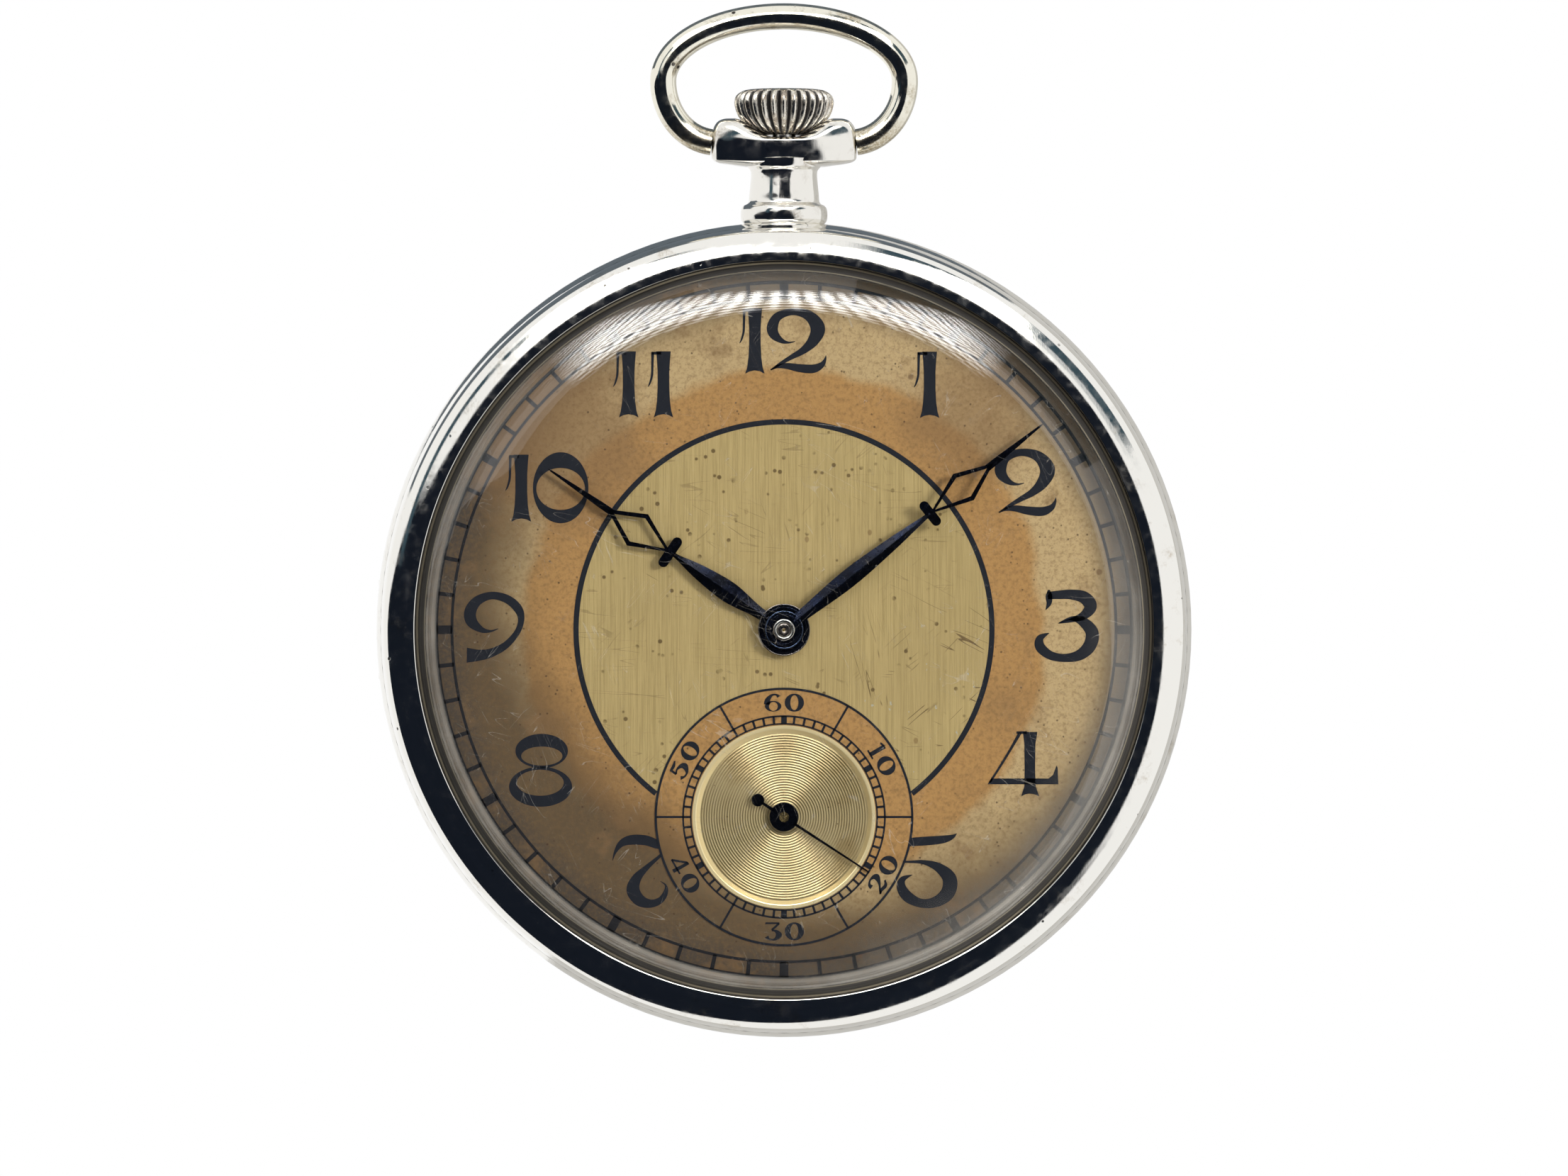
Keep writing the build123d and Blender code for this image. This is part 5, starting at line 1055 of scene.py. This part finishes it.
def sky_patch(name, reach, material, distance, start=0, end=360, inner=lambda a: 0.0, rows=10, step=5):
    """Part of a sphere round the watch, seen only in reflections. reach and inner give, for a clock
    angle seen from the front, how far from straight ahead the patch goes, in degrees."""
    points, faces = [], []
    angles = list(range(start, end + 1, step))
    fades = []
    for a in angles:
        for row in range(rows + 1):
            fades.append(min(sin(pi * row / rows) * 1.6, min(a - start, end - a) / 10, 1.0))
            off = radians(inner(a) + (reach(a) - inner(a)) * row / rows)
            points.append((distance * sin(off) * sin(radians(a)), -distance * cos(off),
                           CENTRE_Z * MM + distance * sin(off) * cos(radians(a))))
    for k in range(len(angles) - 1):
        for row in range(rows):
            first = k * (rows + 1) + row
            faces.append((first, first + 1, first + rows + 2, first + rows + 1))
    made = stage_mesh(name, points, faces, material, False, False)
    made.data.attributes.new("fade", "FLOAT", "POINT").data.foreach_set("value", fades)
    return made


def glow(name, colour, strength, weave=0.0):
    """Light of a wall or a softbox; weave crosses it with the shadows of a cloth and fades its edges."""
    r = Recipe(name)
    power = r.ramp(r.noise(0.004, 1), 0.2, 0.8, strength * 0.92, strength * 1.05)
    if weave:
        across = r.maths("SINE", r.times(r.along((1, 0.3, 0.9)), weave))
        down = r.maths("SINE", r.times(r.along((1, -0.3, -0.9)), weave))
        power = r.times(power, r.ramp(r.times(across, down), -0.3, 0.4, 0.08, 1.3))
    shine = r.node("ShaderNodeEmission", {"Color": colour, "Strength": power})
    if not weave:
        return r.finish(shine)
    fade = r.node("ShaderNodeAttribute", attribute_name="fade").outputs["Fac"]
    gone = r.node("ShaderNodeBsdfTransparent")
    return r.finish(r.cover(fade, gone, shine))


# How far from straight ahead the dark side of the room reaches, every 30 degrees round the clock.
REACH = (21, 25, 25, 25, 35, 47, 63, 87, 88, 87, 19, 24)


def room(a):
    """Reach of the dark side at a clock angle, evenly between the hours."""
    hour = (a % 360) / 30
    low = int(hour)
    return REACH[low % 12] + (REACH[(low + 1) % 12] - REACH[low % 12]) * (hour - low)


dark = glow("dark_room_look", (0.008, 0.011, 0.018), 1.0)
soft = glow("softbox_look", (1.0, 0.99, 0.97), 15.0, 0.1)
blue_grey = glow("window_frame_look", (0.045, 0.08, 0.105), 1.0)
grey_blue = glow("upper_wall_look", (0.13, 0.155, 0.18), 1.0)
grey = glow("rear_wall_look", (0.62, 0.61, 0.585), 1.0)
sky_patch("dark_room", room, dark, 1.4)
sky_patch("softbox", lambda a: 36 + 30 * min(1, (a / 30) ** 2), soft, 1.1, -42, 40, lambda a: 20, step=2)
sky_patch("left_frame", lambda a: 52, blue_grey, 1.2, 280, 345, lambda a: 41)
sky_patch("right_frame", lambda a: 66, blue_grey, 1.2, 12, 64, lambda a: 38)
sky_patch("upper_wall", lambda a: 176 - 0.6 * abs(a + 15), grey_blue, 1.2, -70, 35, lambda a: 104)
sky_patch("rear_wall", lambda a: 179, grey, 1.3, 0, 215, lambda a: 118)

world = bpy.data.worlds.new("studio")
bpy.context.scene.world = world
world.use_nodes = True
world.node_tree.nodes["Background"].inputs["Color"].default_value = (1, 1, 1, 1)
sky = world.node_tree
rays = sky.nodes.new("ShaderNodeLightPath")
level = sky.nodes.new("ShaderNodeMapRange")
level.inputs["To Min"].default_value = 1.0
level.inputs["To Max"].default_value = 0.5          # soft light on matt surfaces, full white elsewhere
sky.links.new(rays.outputs["Is Diffuse Ray"], level.inputs["Value"])
sky.links.new(level.outputs["Result"], sky.nodes["Background"].inputs["Strength"])


def area(name, place, size, power):
    """Square lamp aimed at the dial from a place seen from it."""
    data = bpy.data.lights.new(name, "AREA")
    data.size = size
    data.energy = power
    lamp = add(name, data)
    lamp.location = Vector(place) + Vector((0, 0, CENTRE_Z * MM))
    lamp.rotation_euler = (-Vector(place)).to_track_quat("-Z", "Y").to_euler()
    lamp.visible_glossy = False


area("key", (0.5, -0.5, 0.2), 0.2, 6.5)
area("top", (0.0, -0.2, 0.7), 0.5, 1.5)

camera_data = bpy.data.cameras.new("camera")
camera = add("camera", camera_data)
DISTANCE = 0.6
SUBJECT_WIDTH = 0.09433
AIM_UP = 0.0025              # the picture's middle lies above the hands' axis
camera.location = (0, -DISTANCE, CENTRE_Z * MM + AIM_UP)
camera.rotation_euler = (pi / 2, 0, 0)
camera_data.sensor_width = 36
camera_data.lens = 36 * DISTANCE / SUBJECT_WIDTH
bpy.context.scene.camera = camera
bpy.context.scene.view_settings.view_transform = "Standard"
bpy.context.scene.view_settings.look = "None"
